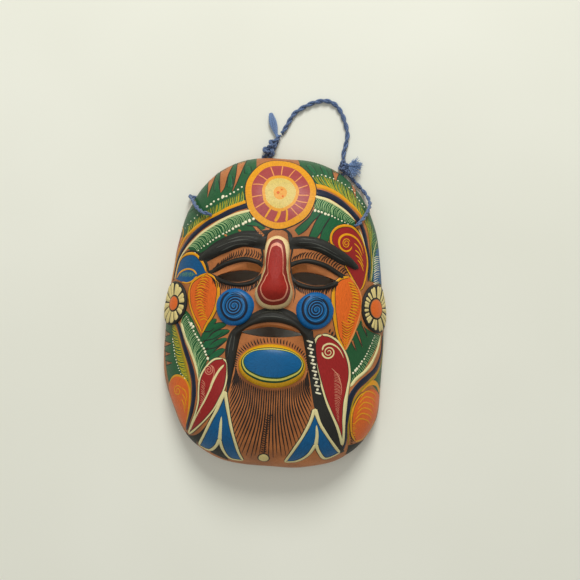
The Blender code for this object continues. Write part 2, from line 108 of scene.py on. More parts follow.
def fullness(x, y):
    reach = np.where(y > WIDEST_Y, CROWN_REACH, CHIN_REACH)
    share = np.abs(y - WIDEST_Y) / reach / np.maximum(gauge(x, y), 1e-6)
    return SIDE_FULLNESS + (END_FULLNESS - SIDE_FULLNESS) * share**2


def relief(x, y):
    """Gaussian hollows of the eyes and swellings of the cheeks and the muzzle."""
    total = MUZZLE[4] * np.exp(-((x - MUZZLE[0]) / MUZZLE[2]) ** 2 - ((y - MUZZLE[1]) / MUZZLE[3]) ** 2)
    for cx, cy, rx, ry, size in SWELLS:
        total = total + size * np.exp(-((np.abs(x) - cx) / rx) ** 2 - ((y - cy) / ry) ** 2)
    return total


def height(x, y):
    """Rim height at the rim, rising inwards as the root of 1 - gauge^fullness."""
    rim = rim_height(y)
    rise = np.sqrt(np.maximum(1.0 - np.minimum(gauge(x, y), 1.0) ** fullness(x, y), 0.0))
    return rim + (VAULT_HEIGHT - rim + relief(x, y)) * rise


def implicit(p):
    """Zero on the outer skin and growing outwards."""
    x, y, z = p[..., 0], p[..., 1], p[..., 2]
    rim = rim_height(y)
    rise = (z - rim) / (VAULT_HEIGHT - rim + relief(x, y))
    return rise * np.abs(rise) + gauge(x, y) ** fullness(x, y) - 1.0


def slope(p):
    """Gradient of implicit, by central differences of 0.01 mm."""
    step = 0.01 * np.eye(3)
    return np.stack([implicit(p + s) - implicit(p - s) for s in step], axis=-1) / 0.02


def unit(v):
    return v / np.maximum(np.linalg.norm(v, axis=-1, keepdims=True), 1e-9)


def on_wall(p, rounds=3):
    """Points pulled on to the outer skin: Newton steps p - f grad f / |grad f|^2."""
    p = np.array(p, float)
    for _ in range(rounds):
        g = slope(p)
        p = p - (implicit(p) / np.maximum((g * g).sum(-1), 1e-9))[..., None] * g
    return p


def over(x, y):
    """Points of the skin straight below places (x, y); a place past the rim is drawn in to it."""
    x, y = np.asarray(x, float), np.asarray(y, float)
    keep = np.minimum(1.0, 0.9985 / np.maximum(gauge(x, y), 1e-6))
    lean = sway(y)
    x, y = lean + (x - lean) * keep, WIDEST_Y + (y - WIDEST_Y) * keep
    return np.stack([x, y, height(x, y)], axis=-1)


def uneven(p):
    """Finger-pressed unevenness of the clay, in mm: three crossed waves a centimetre or two long."""
    x, y, z = p[..., 0], p[..., 1], p[..., 2]
    return (0.16 * np.sin(x / 7.3 + 1.1 * np.sin(y / 13.0)) * np.sin(y / 8.9 + 0.7) + 0.10
        * np.sin((x + 1.7 * y) / 6.1 + 2.0) + 0.08 * np.sin((z - x) / 3.9 + y / 10.0))


# ---------------------------------------------------------------------------- curves and features

def closed_curve(points, count):
    """Evenly stepped Catmull-Rom points on a closed curve through the given ones."""
    knots = np.asarray(points, float)
    at = np.arange(count) * len(knots) / count
    base = at.astype(int)
    t = (at - base)[:, None]
    p0, p1, p2, p3 = (knots[(base + k) % len(knots)] for k in (-1, 0, 1, 2))
    return 0.5 * (2 * p1 + (p2 - p0) * t + (2 * p0 - 5 * p1 + 4 * p2 - p3) * t**2
        + (3 * p1 - p0 - 3 * p2 + p3) * t**3)


def open_curve(points, step):
    """Points about step apart on a Catmull-Rom curve through the given ones."""
    knots = np.asarray(points, float)
    knots = np.vstack([2 * knots[0] - knots[1], knots, 2 * knots[-1] - knots[-2]])
    t = np.linspace(0.0, 1.0, 17)[None, :-1, None]
    p0, p1, p2, p3 = (knots[k:len(knots) - 3 + k, None] for k in range(4))
    dense = 0.5 * (2 * p1 + (p2 - p0) * t + (2 * p0 - 5 * p1 + 4 * p2 - p3) * t**2
        + (3 * p1 - p0 - 3 * p2 + p3) * t**3)
    dense = np.vstack([dense.reshape(-1, knots.shape[1]), knots[-2]])
    places = dense[:, :3] if knots.shape[1] > 3 else dense[:, :2]
    run = np.concatenate([[0.0], np.cumsum(np.linalg.norm(np.diff(places, axis=0), axis=1))])
    marks = np.linspace(0.0, run[-1], max(int(round(run[-1] / step)), 2) + 1)
    return np.stack([np.interp(marks, run, column) for column in dense.T], axis=1)


# Centrelines of the ridges as (x, y, half width), with their crest heights
BROW_LEFT = [(-7.6, 43.4, 2.6), (-16, 44, 3.5), (-24.5, 42.8, 3.9), (-33, 39, 3.7), (-41, 35.2, 3.2),
    (-47, 32, 1.8)]
BROW_RIGHT = [(7.8, 44.2, 2.6), (16.5, 44.8, 3.5), (25.5, 43.2, 3.9), (34, 39.6, 3.7), (42, 35.4, 3.2),
    (49.5, 30.8, 1.8)]
UPPER_LID_LEFT = [(-39.5, 23.4, 0.9), (-32, 28.6, 1.3), (-21, 32.2, 1.5), (-12, 31.2, 1.2), (-8.8, 29.8, 0.8)]
UPPER_LID_RIGHT = [(8.4, 29.4, 0.8), (12.5, 31.8, 1.2), (19, 33.2, 1.5), (29.5, 30.8, 1.3), (40.5, 24.2, 0.9)]
LOWER_LID_LEFT = [(-37, 19.9, 0.8), (-31, 17.4, 1), (-23, 16.3, 1), (-15.5, 17.6, 1), (-11.6, 20.2, 0.8)]
LOWER_LID_RIGHT = [(10.8, 20.2, 0.8), (14.6, 17.8, 1), (22.5, 16.6, 1), (31, 17.7, 1), (37.4, 20.6, 0.8)]
MOUSTACHE = [(-25.2, -41, 1.3), (-24.8, -32, 2.4), (-25, -23, 3.6), (-23.8, -14.6, 3), (-18.6, -9.5, 1.4),
    (-11.6, -4.8, 2.2), (-1, -1.4, 3.7), (10.8, -4.2, 2.2), (17.2, -8.9, 1.4), (22, -14.2, 2.9),
    (23.4, -22, 3.2), (24.8, -31, 2.9), (28.4, -42, 2.4)]
RIDGES = {"brow_left": (BROW_LEFT, 2.9), "brow_right": (BROW_RIGHT, 2.9),
    "upper_lid_left": (UPPER_LID_LEFT, 1.8), "upper_lid_right": (UPPER_LID_RIGHT, 1.8),
    "lower_lid_left": (LOWER_LID_LEFT, 1.8), "lower_lid_right": (LOWER_LID_RIGHT, 1.8),
    "moustache": (MOUSTACHE, 2.8)}
NOSE = [(-0.6, 47.6), (-6.2, 44.8), (-8, 39), (-7.4, 29), (-9.4, 20), (-12.6, 11.6), (-9, 4.6), (-0.8, 2.6),
    (7.6, 5.2), (10.6, 12.4), (8, 21), (7, 30), (7.4, 39.6), (5.2, 45.2)]
NOSE_CENTRE = (-0.8, 17)
LIP_CENTRE, LIP_RADII, LIP_HEIGHT = (0.2, -31.6), (20.4, 13.3), 6.5
CHEEKS = {"cheek_left": (-24.2, 2.9), "cheek_right": (24.6, 3.1)}
CHEEK_RADIUS, CHEEK_HEIGHT = 11.3, 2.6
ridge_paths = {name: open_curve(line, 1.2) for name, (line, crest) in RIDGES.items()}
nose_rim = closed_curve(NOSE, 180)
nose_turn = np.arctan2(nose_rim[:, 1] - NOSE_CENTRE[1], nose_rim[:, 0] - NOSE_CENTRE[0])
nose_order = np.argsort(nose_turn)
nose_turn = nose_turn[nose_order]
nose_reach = np.hypot(*(nose_rim - NOSE_CENTRE).T)[nose_order]


def ridge_rise(name, x, y):
    """Crest x taper x (1 - share^2.3)^0.8, share being the distance from the centreline in half
    widths; the taper lets both ends run out."""
    path, crest = ridge_paths[name], RIDGES[name][1]
    near = (x > path[:, 0].min() - 4) & (x < path[:, 0].max() + 4)
    near &= (y > path[:, 1].min() - 4) & (y < path[:, 1].max() + 4)
    rise = np.zeros(np.shape(x))
    if not near.any():
        return rise
    p = np.stack([x[near], y[near]], axis=-1)[:, None]
    a, d = path[None, :-1, :2], np.diff(path[:, :2], axis=0)[None]
    t = np.clip(((p - a) * d).sum(-1) / (d * d).sum(-1), 0.0, 1.0)
    gap = np.linalg.norm(p - a - t[..., None] * d, axis=-1)
    best = gap.argmin(axis=1)
    pick = np.arange(len(best))
    at = (best + t[pick, best]) / (len(path) - 1)
    half = np.interp(at, np.linspace(0, 1, len(path)), path[:, 2])
    taper = np.minimum(1.0, 6.0 * np.minimum(at, 1.0 - at) + 0.25)
    share = gap[pick, best] / half
    rise[near] = crest * taper * np.maximum(1.0 - share**2.3, 0.0) ** 0.8
    return rise


def nose_share(x, y):
    """Distance from the nose's middle as a share of its pear outline in that direction."""
    turn = np.arctan2(y - NOSE_CENTRE[1], x - NOSE_CENTRE[0])
    return np.hypot(x - NOSE_CENTRE[0], y - NOSE_CENTRE[1]) / np.interp(turn, nose_turn, nose_reach,
        period=2 * math.pi)


def nose_rise(x, y):
    """Low bridge swelling to a round tip: (5.5 + 7.5 gaussian of y) root(1 - share^2.4)."""
    reach = np.where(y > 13.5, 20.0, 9.0)
    crest = 5.5 + 7.5 * np.exp(-(((y - 13.5) / reach) ** 2))
    return crest * np.sqrt(np.maximum(1.0 - nose_share(x, y) ** 2.4, 0.0))


def oval_rise(x, y, centre, radii, crest, power):
    share = np.hypot((x - centre[0]) / radii[0], (y - centre[1]) / radii[1])
    return crest * np.sqrt(np.maximum(1.0 - share**power, 0.0))


def feature_rise(name, x, y):
    if name == "nose":
        return nose_rise(x, y)
    if name == "lip_boss":
        return oval_rise(x, y, LIP_CENTRE, LIP_RADII, LIP_HEIGHT, 3.0)
    if name in CHEEKS:
        return oval_rise(x, y, CHEEKS[name], (CHEEK_RADIUS,) * 2, CHEEK_HEIGHT, 5.0)
    return ridge_rise(name, x, y)


def raised(p, lift, on=()):
    """Points moved out along the bare wall's normal by the unevenness, the lift, and the greatest
    rise of the raised features named in on."""
    p = on_wall(p)
    rise = uneven(p) + lift
    if on:
        rise = rise + np.max([feature_rise(name, p[..., 0], p[..., 1]) for name in on], axis=0)
    return p + unit(slope(p)) * rise[..., None]


# -------------------------------------------------------------------------------- mesh making

def grid_faces(rows, columns, wrap):
    """Quads of a grid of points, as one array; wrap joins the last column to the first."""
    r = np.arange(rows - 1)[:, None]
    c = np.arange(columns if wrap else columns - 1)[None, :]
    n = (c + 1) % columns
    quads = np.stack([r * columns + c, r * columns + n, (r + 1) * columns + n, (r + 1) * columns + c])
    return quads.reshape(4, -1).T


def surface(name, grids, finish, smooth=60.0):
    """One object from grids of points (rows, columns, 3), each with its UV in mm and its own tone.
    grids holds (points, wrap, caps, tone); caps closes the first and the last row with a middle."""
    points, quads, tris, uvs, tones = [], [], [], [], []
    start = 0
    for grid, wrap, caps, tone in grids:
        rows, columns = grid.shape[:2]
        flat = grid.reshape(-1, 3)
        run = np.linalg.norm(np.diff(grid, axis=0), axis=-1).mean(axis=1)
        u = np.concatenate([[0.0], np.cumsum(run)])
        span = np.linalg.norm(np.diff(grid, axis=1), axis=-1).mean(axis=0)
        v = np.concatenate([[0.0], np.cumsum(span)])
        uv = np.stack(np.meshgrid(u + 37.0 * tone, v + 11.0 * tone, indexing="ij"), axis=-1)
        uv = uv.reshape(-1, 2)
        quads.append(grid_faces(rows, columns, wrap) + start)
        if caps:
            ends = [grid[0].mean(axis=0), grid[-1].mean(axis=0)]
            flat = np.vstack([flat, ends])
            uv = np.vstack([uv, uv[0], uv[-1]])
            i = np.arange(columns)
            n = (i + 1) % columns
            a, b = rows * columns, rows * columns + 1
            last = (rows - 1) * columns
            tris.append(np.stack([np.full(columns, a), n, i], axis=1) + start)
            tris.append(np.stack([np.full(columns, b), last + i, last + n], axis=1) + start)
        points.append(flat)
        uvs.append(uv)
        tones.append(np.full(len(flat), tone))
        start += len(flat)
    points, uvs, tones = np.vstack(points), np.vstack(uvs), np.concatenate(tones)
    faces = [row for block in quads for row in block.tolist()]
    faces += [row for block in tris for row in block.tolist()]
    mesh = bpy.data.meshes.new(name)
    mesh.from_pydata((points * MM).tolist(), [], faces)
    loops = np.empty(len(mesh.loops), int)
    mesh.loops.foreach_get("vertex_index", loops)
    layer = mesh.uv_layers.new(name="brush")
    layer.data.foreach_set("uv", uvs[loops].astype(np.float32).ravel())
    mesh.attributes.new("tone", "FLOAT", "POINT").data.foreach_set("value", tones.astype(np.float32))
    mesh.shade_smooth()
    mesh.set_sharp_from_angle(angle=math.radians(smooth))
    made = bpy.data.objects.new(name, mesh)
    for one in (finish if isinstance(finish, list) else [finish]):
        made.data.materials.append(one)
    bpy.context.scene.collection.objects.link(made)
    return made


def place(piece, body, slot, *nodes):
    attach(piece, body)
    if nodes:
        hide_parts(*nodes)
    return piece


# ---------------------------------------------------------------------------------- finishes

def nodes_of(name):
    made = bpy.data.materials.new(name)
    made.use_nodes = True
    tree = made.node_tree
    return made, tree, tree.nodes["Principled BSDF"]


def coords(tree, kind, scale):
    """Coordinates of one kind in mm, stretched by scale."""
    where = tree.nodes.new("ShaderNodeTexCoord")
    fit = tree.nodes.new("ShaderNodeMapping")
    fit.inputs["Scale"].default_value = scale
    tree.links.new(where.outputs[kind], fit.inputs["Vector"])
    return fit.outputs["Vector"]


def noise(tree, vector, size, detail, rough=0.6):
    made = tree.nodes.new("ShaderNodeTexNoise")
    made.inputs["Scale"].default_value = size
    made.inputs["Detail"].default_value = detail
    made.inputs["Roughness"].default_value = rough
    tree.links.new(vector, made.inputs["Vector"])
    return made.outputs["Fac"]


def ramp(tree, value, stops):
    made = tree.nodes.new("ShaderNodeValToRGB")
    ramp_ = made.color_ramp
    while len(ramp_.elements) < len(stops):
        ramp_.elements.new(0.5)
    for element, (at, colour) in zip(ramp_.elements, stops):
        element.position = at
        element.color = (*colour, 1.0) if len(colour) == 3 else colour
    tree.links.new(value, made.inputs["Fac"])
    return made.outputs["Color"]


def spread(tree, value, low, high, from_low=0.3, from_high=0.7):
    made = tree.nodes.new("ShaderNodeMapRange")
    made.inputs["From Min"].default_value = from_low
    made.inputs["From Max"].default_value = from_high
    made.inputs["To Min"].default_value = low
    made.inputs["To Max"].default_value = high
    tree.links.new(value, made.inputs["Value"])
    return made.outputs["Result"]


def blend_colour(tree, factor, first, second):
    made = tree.nodes.new("ShaderNodeMix")
    made.data_type = "RGBA"
    for socket, value in ((made.inputs[0], factor), (made.inputs[6], first), (made.inputs[7], second)):
        if isinstance(value, (float, tuple)):
            socket.default_value = (*value, 1.0) if isinstance(value, tuple) else value
        else:
            tree.links.new(value, socket)
    return made.outputs[2]


def bump(tree, shader, value, depth, distance=0.0002):
    made = tree.nodes.new("ShaderNodeBump")
    made.inputs["Strength"].default_value = depth
    made.inputs["Distance"].default_value = distance
    tree.links.new(value, made.inputs["Height"])
    tree.links.new(made.outputs["Normal"], shader.inputs["Normal"])


def linear(colour):
    """Linear colour from an 8-bit screen colour."""
    c = np.array(colour) / 255.0
    return tuple(float(v) for v in np.where(c <= 0.04045, c / 12.92, ((c + 0.055) / 1.055) ** 2.4))


def enamel(name, colour, spread_by, gloss=0.4, coat=0.08):
    """Brushed enamel: bristle streaks along the stroke, a tone for each stroke, and small pits
    where the clay grain shows through as a darker speck."""
    made, tree, shader = nodes_of(name)
    base = np.array(linear(colour)) * 0.9
    streaks = noise(tree, coords(tree, "UV", (0.35, 2.6, 1)), 1.0, 4.0, 0.65)
    grain = noise(tree, coords(tree, "Object", (1000.0,) * 3), 1.1, 5.0, 0.7)
    tone = tree.nodes.new("ShaderNodeAttribute")
    tone.attribute_name = "tone"
    dark = tuple(base * (1.0 - spread_by))
    light = tuple(np.minimum(base * (1.0 + spread_by) + 0.004, 1.0))
    brushed = ramp(tree, streaks, [(0.34, dark), (0.52, tuple(base)), (0.72, light)])
    toned = blend_colour(tree, spread(tree, tone.outputs["Fac"], 0.0, 0.35, 0.0, 1.0), brushed, dark)
    pits = spread(tree, grain, 0.55, 0.0, 0.30, 0.42)
    worn = blend_colour(tree, pits, toned, tuple(base * 0.45 + np.array([0.012, 0.006, 0.003])))
    tree.links.new(worn, shader.inputs["Base Color"])
    tree.links.new(spread(tree, grain, gloss + 0.2, gloss - 0.06), shader.inputs["Roughness"])
    shader.inputs["Coat Weight"].default_value = coat
    shader.inputs["Coat Roughness"].default_value = 0.22
    shader.inputs["Specular IOR Level"].default_value = 0.22
    bump(tree, shader, streaks, 0.35, 0.0001)
    return made


def clay(name, colour, dark, gloss, coat, depth):
    """Fired clay: broad firing clouds, fine grain, and scattered dark specks."""
    made, tree, shader = nodes_of(name)
    where = coords(tree, "Object", (1000.0,) * 3)
    clouds = noise(tree, where, 0.06, 4.0, 0.6)
    grain = noise(tree, where, 0.9, 6.0, 0.72)
    fired = ramp(tree, clouds, [(0.32, linear(dark)), (0.66, linear(colour))])
    flecked = blend_colour(tree, spread(tree, grain, 0.45, 0.0, 0.28, 0.5), fired,
        tuple(np.array(linear(dark)) * 0.55))
    tree.links.new(flecked, shader.inputs["Base Color"])
    tree.links.new(spread(tree, grain, gloss + 0.15, gloss - 0.1), shader.inputs["Roughness"])
    shader.inputs["Coat Weight"].default_value = coat
    shader.inputs["Coat Roughness"].default_value = 0.3
    shader.inputs["Specular IOR Level"].default_value = 0.25
    bump(tree, shader, grain, depth)
    return made


def yarn(name, colour, shade):
    """Spun cotton: fine slanting plies across each strand, the grooves between them darkened as painted
    shade, with soft fuzz.
    """
    made, tree, shader = nodes_of(name)
    where = coords(tree, "UV", (1, 1, 1))
    plies = tree.nodes.new("ShaderNodeTexWave")
    plies.wave_type, plies.bands_direction = "BANDS", "DIAGONAL"
    plies.inputs["Scale"].default_value = 0.42
    plies.inputs["Distortion"].default_value = 2.2
    plies.inputs["Detail"].default_value = 3.0
    tree.links.new(where, plies.inputs["Vector"])
    fuzz = noise(tree, coords(tree, "Object", (1000.0,) * 3), 1.6, 5.0, 0.7)
    tone = tree.nodes.new("ShaderNodeAttribute")
    tone.attribute_name = "tone"
    # the shade colour is painted into the grooves between the plies
    spun = ramp(tree, plies.outputs["Fac"], [(0.1, linear(shade)), (0.75, linear(colour))])
    soft = blend_colour(tree, spread(tree, fuzz, 0.0, 0.45, 0.4, 0.75), spun,
        tuple(np.minimum(np.array(linear(colour)) * 1.5, 1.0)))
    toned = blend_colour(tree, spread(tree, tone.outputs["Fac"], 0.0, 0.5, 0.0, 1.0), soft, linear(shade))
    tree.links.new(toned, shader.inputs["Base Color"])
    shader.inputs["Roughness"].default_value = 0.8
    shader.inputs["Sheen Weight"].default_value = 0.25
    bump(tree, shader, plies.outputs["Fac"], 0.6, 0.0003)
    return made


TERRACOTTA = clay("terracotta_varnished", (188, 116, 62), (150, 90, 48), 0.5, 0.05, 0.35)
BARE_CLAY = clay("terracotta_bare", (214, 156, 114), (184, 126, 88), 0.85, 0.0, 0.8)
CUT_CLAY = clay("terracotta_cut", (186, 118, 64), (150, 92, 48), 0.6, 0.1, 0.5)
BLACK = enamel("black_enamel", (44, 44, 40), 0.3, 0.5, 0.0)
CREAM = enamel("cream_enamel", (228, 208, 138), 0.16, 0.45)
NAVY = enamel("navy_enamel", (22, 32, 54), 0.2, 0.4)
BLUE = enamel("blue_enamel", (4, 92, 144), 0.3)
CHEEK_BLUE = enamel("cheek_blue_enamel", (8, 96, 158), 0.24)
NOSE_CREAM = enamel("nose_cream_enamel", (236, 208, 152), 0.12, 0.45)
NOSE_RED = enamel("nose_red_enamel", (156, 34, 22), 0.3, 0.52, 0.0)
DARK_RED = enamel("dark_red_enamel", (134, 40, 28), 0.16)
PINK = enamel("pink_line_enamel", (226, 150, 120), 0.12)
LIP_YELLOW = enamel("lip_yellow_enamel", (226, 168, 16), 0.18)
DARK_GREEN = enamel("dark_green_enamel", (22, 70, 40), 0.2)
LIP_CREAM = enamel("lip_cream_enamel", (208, 200, 96), 0.14)
# the second colour of each yarn is painted shade for the grooves between its plies, and the darker tone of
# some strands
CORD_YARN = yarn("cord_yarn", (92, 118, 158), (46, 62, 98))
TUFT_YARN = yarn("tuft_yarn", (128, 156, 196), (76, 104, 148))


# ------------------------------------------------------------------------------ camera and cord

def make_camera():
    """Straight over the table, 560 mm up, turned 3 degrees."""
    low, high = (np.array(corner) for corner in cad_box)
    middle = (low + high) / 2.0
    data = bpy.data.cameras.new("overhead")
    data.lens, data.sensor_width = 52.66, 36.0
    data.clip_start, data.clip_end = 0.02, 20.0
    camera = bpy.data.objects.new("overhead", data)
    camera.location = (middle[0] + 0.0087, middle[1] - 0.0051, 0.56)
    camera.rotation_euler = (0.0, 0.0, math.radians(3.0))
    bpy.context.scene.collection.objects.link(camera)
    bpy.context.scene.camera = camera


make_camera()

LOOP_DIAMETER, TIE_DIAMETER = 3.2, 2.6
REST, TIE_REST = 0.5 * LOOP_DIAMETER, 0.5 * TIE_DIAMETER
LOOP_ROUTE = [(-2, 117.4, 1.9), (-0.2, 120.4, REST), (2.4, 125.6, REST), (5.6, 131.0, REST),
    (12.9, 136.4, REST), (20.2, 139.6, REST), (26.6, 140.4, REST), (32.2, 138.2, REST), (36.4, 133.0, REST),
    (39.2, 126.5, REST), (41.0, 120.0, REST), (40.7, 114.0, REST), (39.6, 108.8, REST), (39.2, 105.4, 1.8),
    (39.2, 102.7, 2)]
TIE_LEFT_ROUTE = [(-13, 101.9, 2.2), (-15.4, 96.0, TIE_REST), (-22.0, 88.0, TIE_REST),
    (-33.0, 80.4, TIE_REST), (-44.0, 75.4, TIE_REST), (-52.0, 72.8, TIE_REST), (-57.2, 72.4, 1.4),
    (-59.8, 73, 4.2), (-58.8, 72, 9.6), (-57, 70.2, 14.6), (-55.5, 67.8, 19.2), (-53.5, 64.9, 23.8),
    (-51.3, 62.6, 27.2), (-48.8, 60.9, 30.6), (-46.2, 59.9, 33.4), (-43.9, 59.3, 33.2), (-42, 58.6, 30.4),
    (-40.1, 57.7, 27), (-38.4, 57, 22.4), (-37, 57, 16), (-35.4, 58, 9.4), (-33.2, 60.8, 3.6),
    (-29.4, 66.0, TIE_REST), (-23.0, 75.0, TIE_REST), (-14.6, 85.0, TIE_REST), (-10.2, 94.0, TIE_REST),
    (-9.2, 100.9, 1.9)]
TIE_RIGHT_ROUTE = [(42.7, 93.2, 2.4), (45.6, 90, 1.8), (49.2, 86.6, 1.8), (52.8, 83, 2.6), (55.8, 78.8, 5.4),
    (57.4, 74.6, 9.8), (56.9, 70.6, 15.4), (55.2, 66.8, 20.8), (53.2, 63.4, 25.4), (51.2, 60.6, 29),
    (49.4, 58.6, 31.2), (47.7, 57.5, 29.8), (45.9, 56.8, 27), (44.1, 56.2, 23.6), (42.2, 55.6, 18),
    (40.4, 56.2, 10.6), (38.8, 59.4, 4.2), (37.6, 66.0, TIE_REST), (36.8, 76.0, TIE_REST),
    (37.0, 84.6, TIE_REST), (38.4, 90.6, TIE_REST), (39.6, 93.1, 1.4)]


def space_curve(points, step):
    """Points about step apart on a Catmull-Rom curve in space."""
    padded = np.column_stack([np.asarray(points, float), np.zeros(len(points))])
    return open_curve(padded, step)[:, :3]


def frames(path):
    """Tangents and two side directions along a path, the sides turned as little as possible."""
    along = unit(np.gradient(path, axis=0))
    side = [unit(np.cross(along[0], (0.3, 0.1, 1)))]
    for tangent in along[1:]:
        side.append(unit(side[-1] - tangent * (side[-1] @ tangent)))
    side = np.array(side)
    return along, side, np.cross(along, side)


def strand(path, radius, offset, pitch, phase, sides, swell_by=0.0):
    """Tube that winds round a path: its middle is offset from the path and turns once each pitch."""
    along, side, other = frames(path)
    run = np.concatenate([[0.0], np.cumsum(np.linalg.norm(np.diff(path, axis=0), axis=1))])
    turn = 2 * math.pi * run / pitch + phase + 0.35 * np.sin(run / 7.0)
    out = np.cos(turn)[:, None] * side + np.sin(turn)[:, None] * other
    middle = path + offset * out
    forward = unit(np.gradient(middle, axis=0))
    across = np.cross(forward, out)
    wide = radius * (1.0 + swell_by * np.sin(run / 2.3 + phase))
    ring = np.arange(sides) * 2 * math.pi / sides
    return (middle[:, None] + wide[:, None, None] * (np.cos(ring)[None, :, None] * out[:, None]
        + np.sin(ring)[None, :, None] * across[:, None]))


def twisted_cord(name, route, diameter, pitch):
    """Two strands laid round each other, each 0.53 of the cord's diameter thick."""
    path = space_curve(route, 0.7)
    grids = [(strand(path, 0.265 * diameter, 0.235 * diameter, pitch, phase, 10, 0.06), True, True,
        tone) for phase, tone in ((0.4, 0.15), (0.4 + math.pi, 0.3))]
    return surface(name, grids, CORD_YARN), path


def trefoil(middle, size, flatness, turn, radius):
    """Overhand knot: the closed curve (sin t + 2 sin 2t, cos t - 2 cos 2t, -sin 3t) with two plies."""
    t = np.linspace(0.0, 2 * math.pi, 121)
    knot = np.stack([np.sin(t) + 2 * np.sin(2 * t), np.cos(t) - 2 * np.cos(2 * t), -flatness * np.sin(3 * t)],
        axis=-1) * size / 3.0
    c, s = math.cos(turn), math.sin(turn)
    knot = knot @ np.array([[c, s, 0], [-s, c, 0], [0, 0, 1.0]]) + middle
    return [(strand(knot, 0.56 * radius, 0.45 * radius, 5.5, phase, 9), True, True, 0.25 + 0.3 * k) for k,
        phase in enumerate((0.0, math.pi))]


def short_twist(start, end, bow, swing, radius):
    """Short twisted length of cord from start to end, its middle moved by bow."""
    path = space_curve([start, np.add(start, end) / 2 + bow, end], 0.7)
    return [(strand(path, swing, radius, 6.0, phase, 9), True, True, 0.35) for phase in (0, math.pi)]


def filament(path, radius, tone):
    return strand(path, radius, 0.0, 50.0, 0.0, 5), True, True, tone


def make_knots_and_ends():
    """Knots as overhand coils, the left end as a leaf of teased yarn, the right as a frayed tuft."""
    grids = trefoil(np.array([-9.4, 105.6, 4.0]), 3.6, 2.0, 0.4, 1.35)
    grids += trefoil(np.array([-6.9, 110.6, 3.3]), 2.5, 1.6, 2.2, 1.2)
    for start, end in (((-12.6, 101.2, 2.4), (-8.2, 108.6, 4.4)), ((-9.2, 100.6, 2.2), (-6.6, 110, 3)),
            ((-7.4, 109, 2.6), (-3.4, 116.2, 2))):
        grids += short_twist(start, end, [0.3, 0, 0.6], 0.75, 0.62)
    left = place(surface("knot_left_coils", grids, CORD_YARN), "root", "blue_cord", "knot_left")
    grids = trefoil(np.array([39.6, 98.0, 3.2]), 3.0, 1.9, 1.2, 1.15)
    grids += trefoil(np.array([40.6, 95.4, 3.0]), 2.2, 1.5, 0.2, 1.0)
    for start, end in (((39.2, 102.4, 2), (40.6, 96, 3.4)), ((42.6, 93.4, 2.2), (40.4, 98, 2.6))):
        grids += short_twist(start, end, [0.2, 0, 0.5], 0.72, 0.6)
    right = place(surface("knot_right_coils", grids, CORD_YARN), "root", "blue_cord", "knot_right")

    route = [(-4.6, 114.2, 2), (-5.9, 117.6, 2), (-7.2, 121.4, 2.2), (-8.6, 125.2, 2.1), (-9.9, 129.6, 1.6),
        (-10.6, 131.4, 1.3)]
    middle = space_curve(route, 1.0)
    along, side, other = frames(middle)
    share = np.linspace(0.0, 1.0, len(middle))
    belly = 0.75 + 1.75 * np.sin(math.pi * np.clip((share - 0.12) / 0.92, 0, 1)) ** 1.2 * (share < 1)
    grids = []
    for angle, depth, tone in zip(rng.uniform(0, 2 * math.pi, 70), np.sqrt(rng.uniform(0.03, 1, 70)),
            rng.uniform(0, 0.8, 70)):
        turn = angle + 1.2 * share
        keep = share < rng.uniform(0.86, 1)
        hair = middle + (belly * depth)[:, None] * (np.cos(turn)[:, None] * side + 0.55
            * np.sin(turn)[:, None] * other)
        hair[:, 2] = np.maximum(hair[:, 2], 0.25)
        grids.append(filament(hair[keep], 0.2, tone))
    tail = place(surface("tail_left_yarn", grids, TUFT_YARN), "root", "blue_cord", "tail_left")

    grids = []
    root = np.array([42.2, 98.0, 4.0])
    count = 170
    for swing, climb, reach, bow, tone in zip(rng.uniform(-1.15, 0.7, count), rng.uniform(-0.35, 0.4, count),
            rng.uniform(5.2, 10.6, count), rng.normal(0, 0.16, count), rng.uniform(0, 0.8, count)):
        s = np.linspace(0, 1, 9)[:, None]
        far = 1.0 - 0.2 * abs(swing + 0.25)
        out = np.array([math.cos(swing), math.sin(swing), climb])
        bend = np.array([-math.sin(swing), math.cos(swing), -0.3])
        hair = root + reach * far * s * out + reach * bow * s**2 * bend + rng.normal(0, 0.45, 3) * (1 - s)
        hair[:, 2] = np.maximum(hair[:, 2], 0.3)
        grids.append(filament(hair, 0.16, tone))
    tuft = place(surface("tuft_right_yarn", grids, TUFT_YARN), "root", "blue_cord", "tuft_right")
    return left, right, tail, tuft


knot_left, knot_right, tail, tuft = make_knots_and_ends()
for name, node, route, diameter, body, ends in (("hanger_loop_cord", "hanger_loop", LOOP_ROUTE, LOOP_DIAMETER,
        "hanger", []), ("tie_left_cord", "tie_left", TIE_LEFT_ROUTE, TIE_DIAMETER, "root", [knot_left, tail]),
        ("tie_right_cord", "tie_right", TIE_RIGHT_ROUTE, TIE_DIAMETER, "root", [knot_right, tuft])):
    cord, path = twisted_cord(name, route, diameter, 11.4)
    place(cord, body, "blue_cord", node)
    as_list(ends)


# ----------------------------------------------------------------------------- the clay wall

EYE_LEFT = [(-36.5, 22.6), (-29.5, 27.2), (-20, 29.8), (-12.5, 28.8), (-9.2, 26.4), (-13, 21), (-23.5, 18),
    (-31, 19.4)]
EYE_RIGHT = [(8.2, 25.4), (11.5, 29.2), (18.5, 30.6), (28, 28.4), (37.6, 23.2), (31.5, 19.6), (23, 18.4),
    (13, 20.8)]
MOUTH = [(-19.4, -11.2), (-11, -7.8), (-1.7, -5.6), (9, -7.4), (17.8, -10.9), (9, -13.6), (-1.3, -14.4),
    (-11, -13.8)]
HOLE_DIAMETER = 5.4
HOLES = [(-42.9, 59), (47.6, 57.4)]


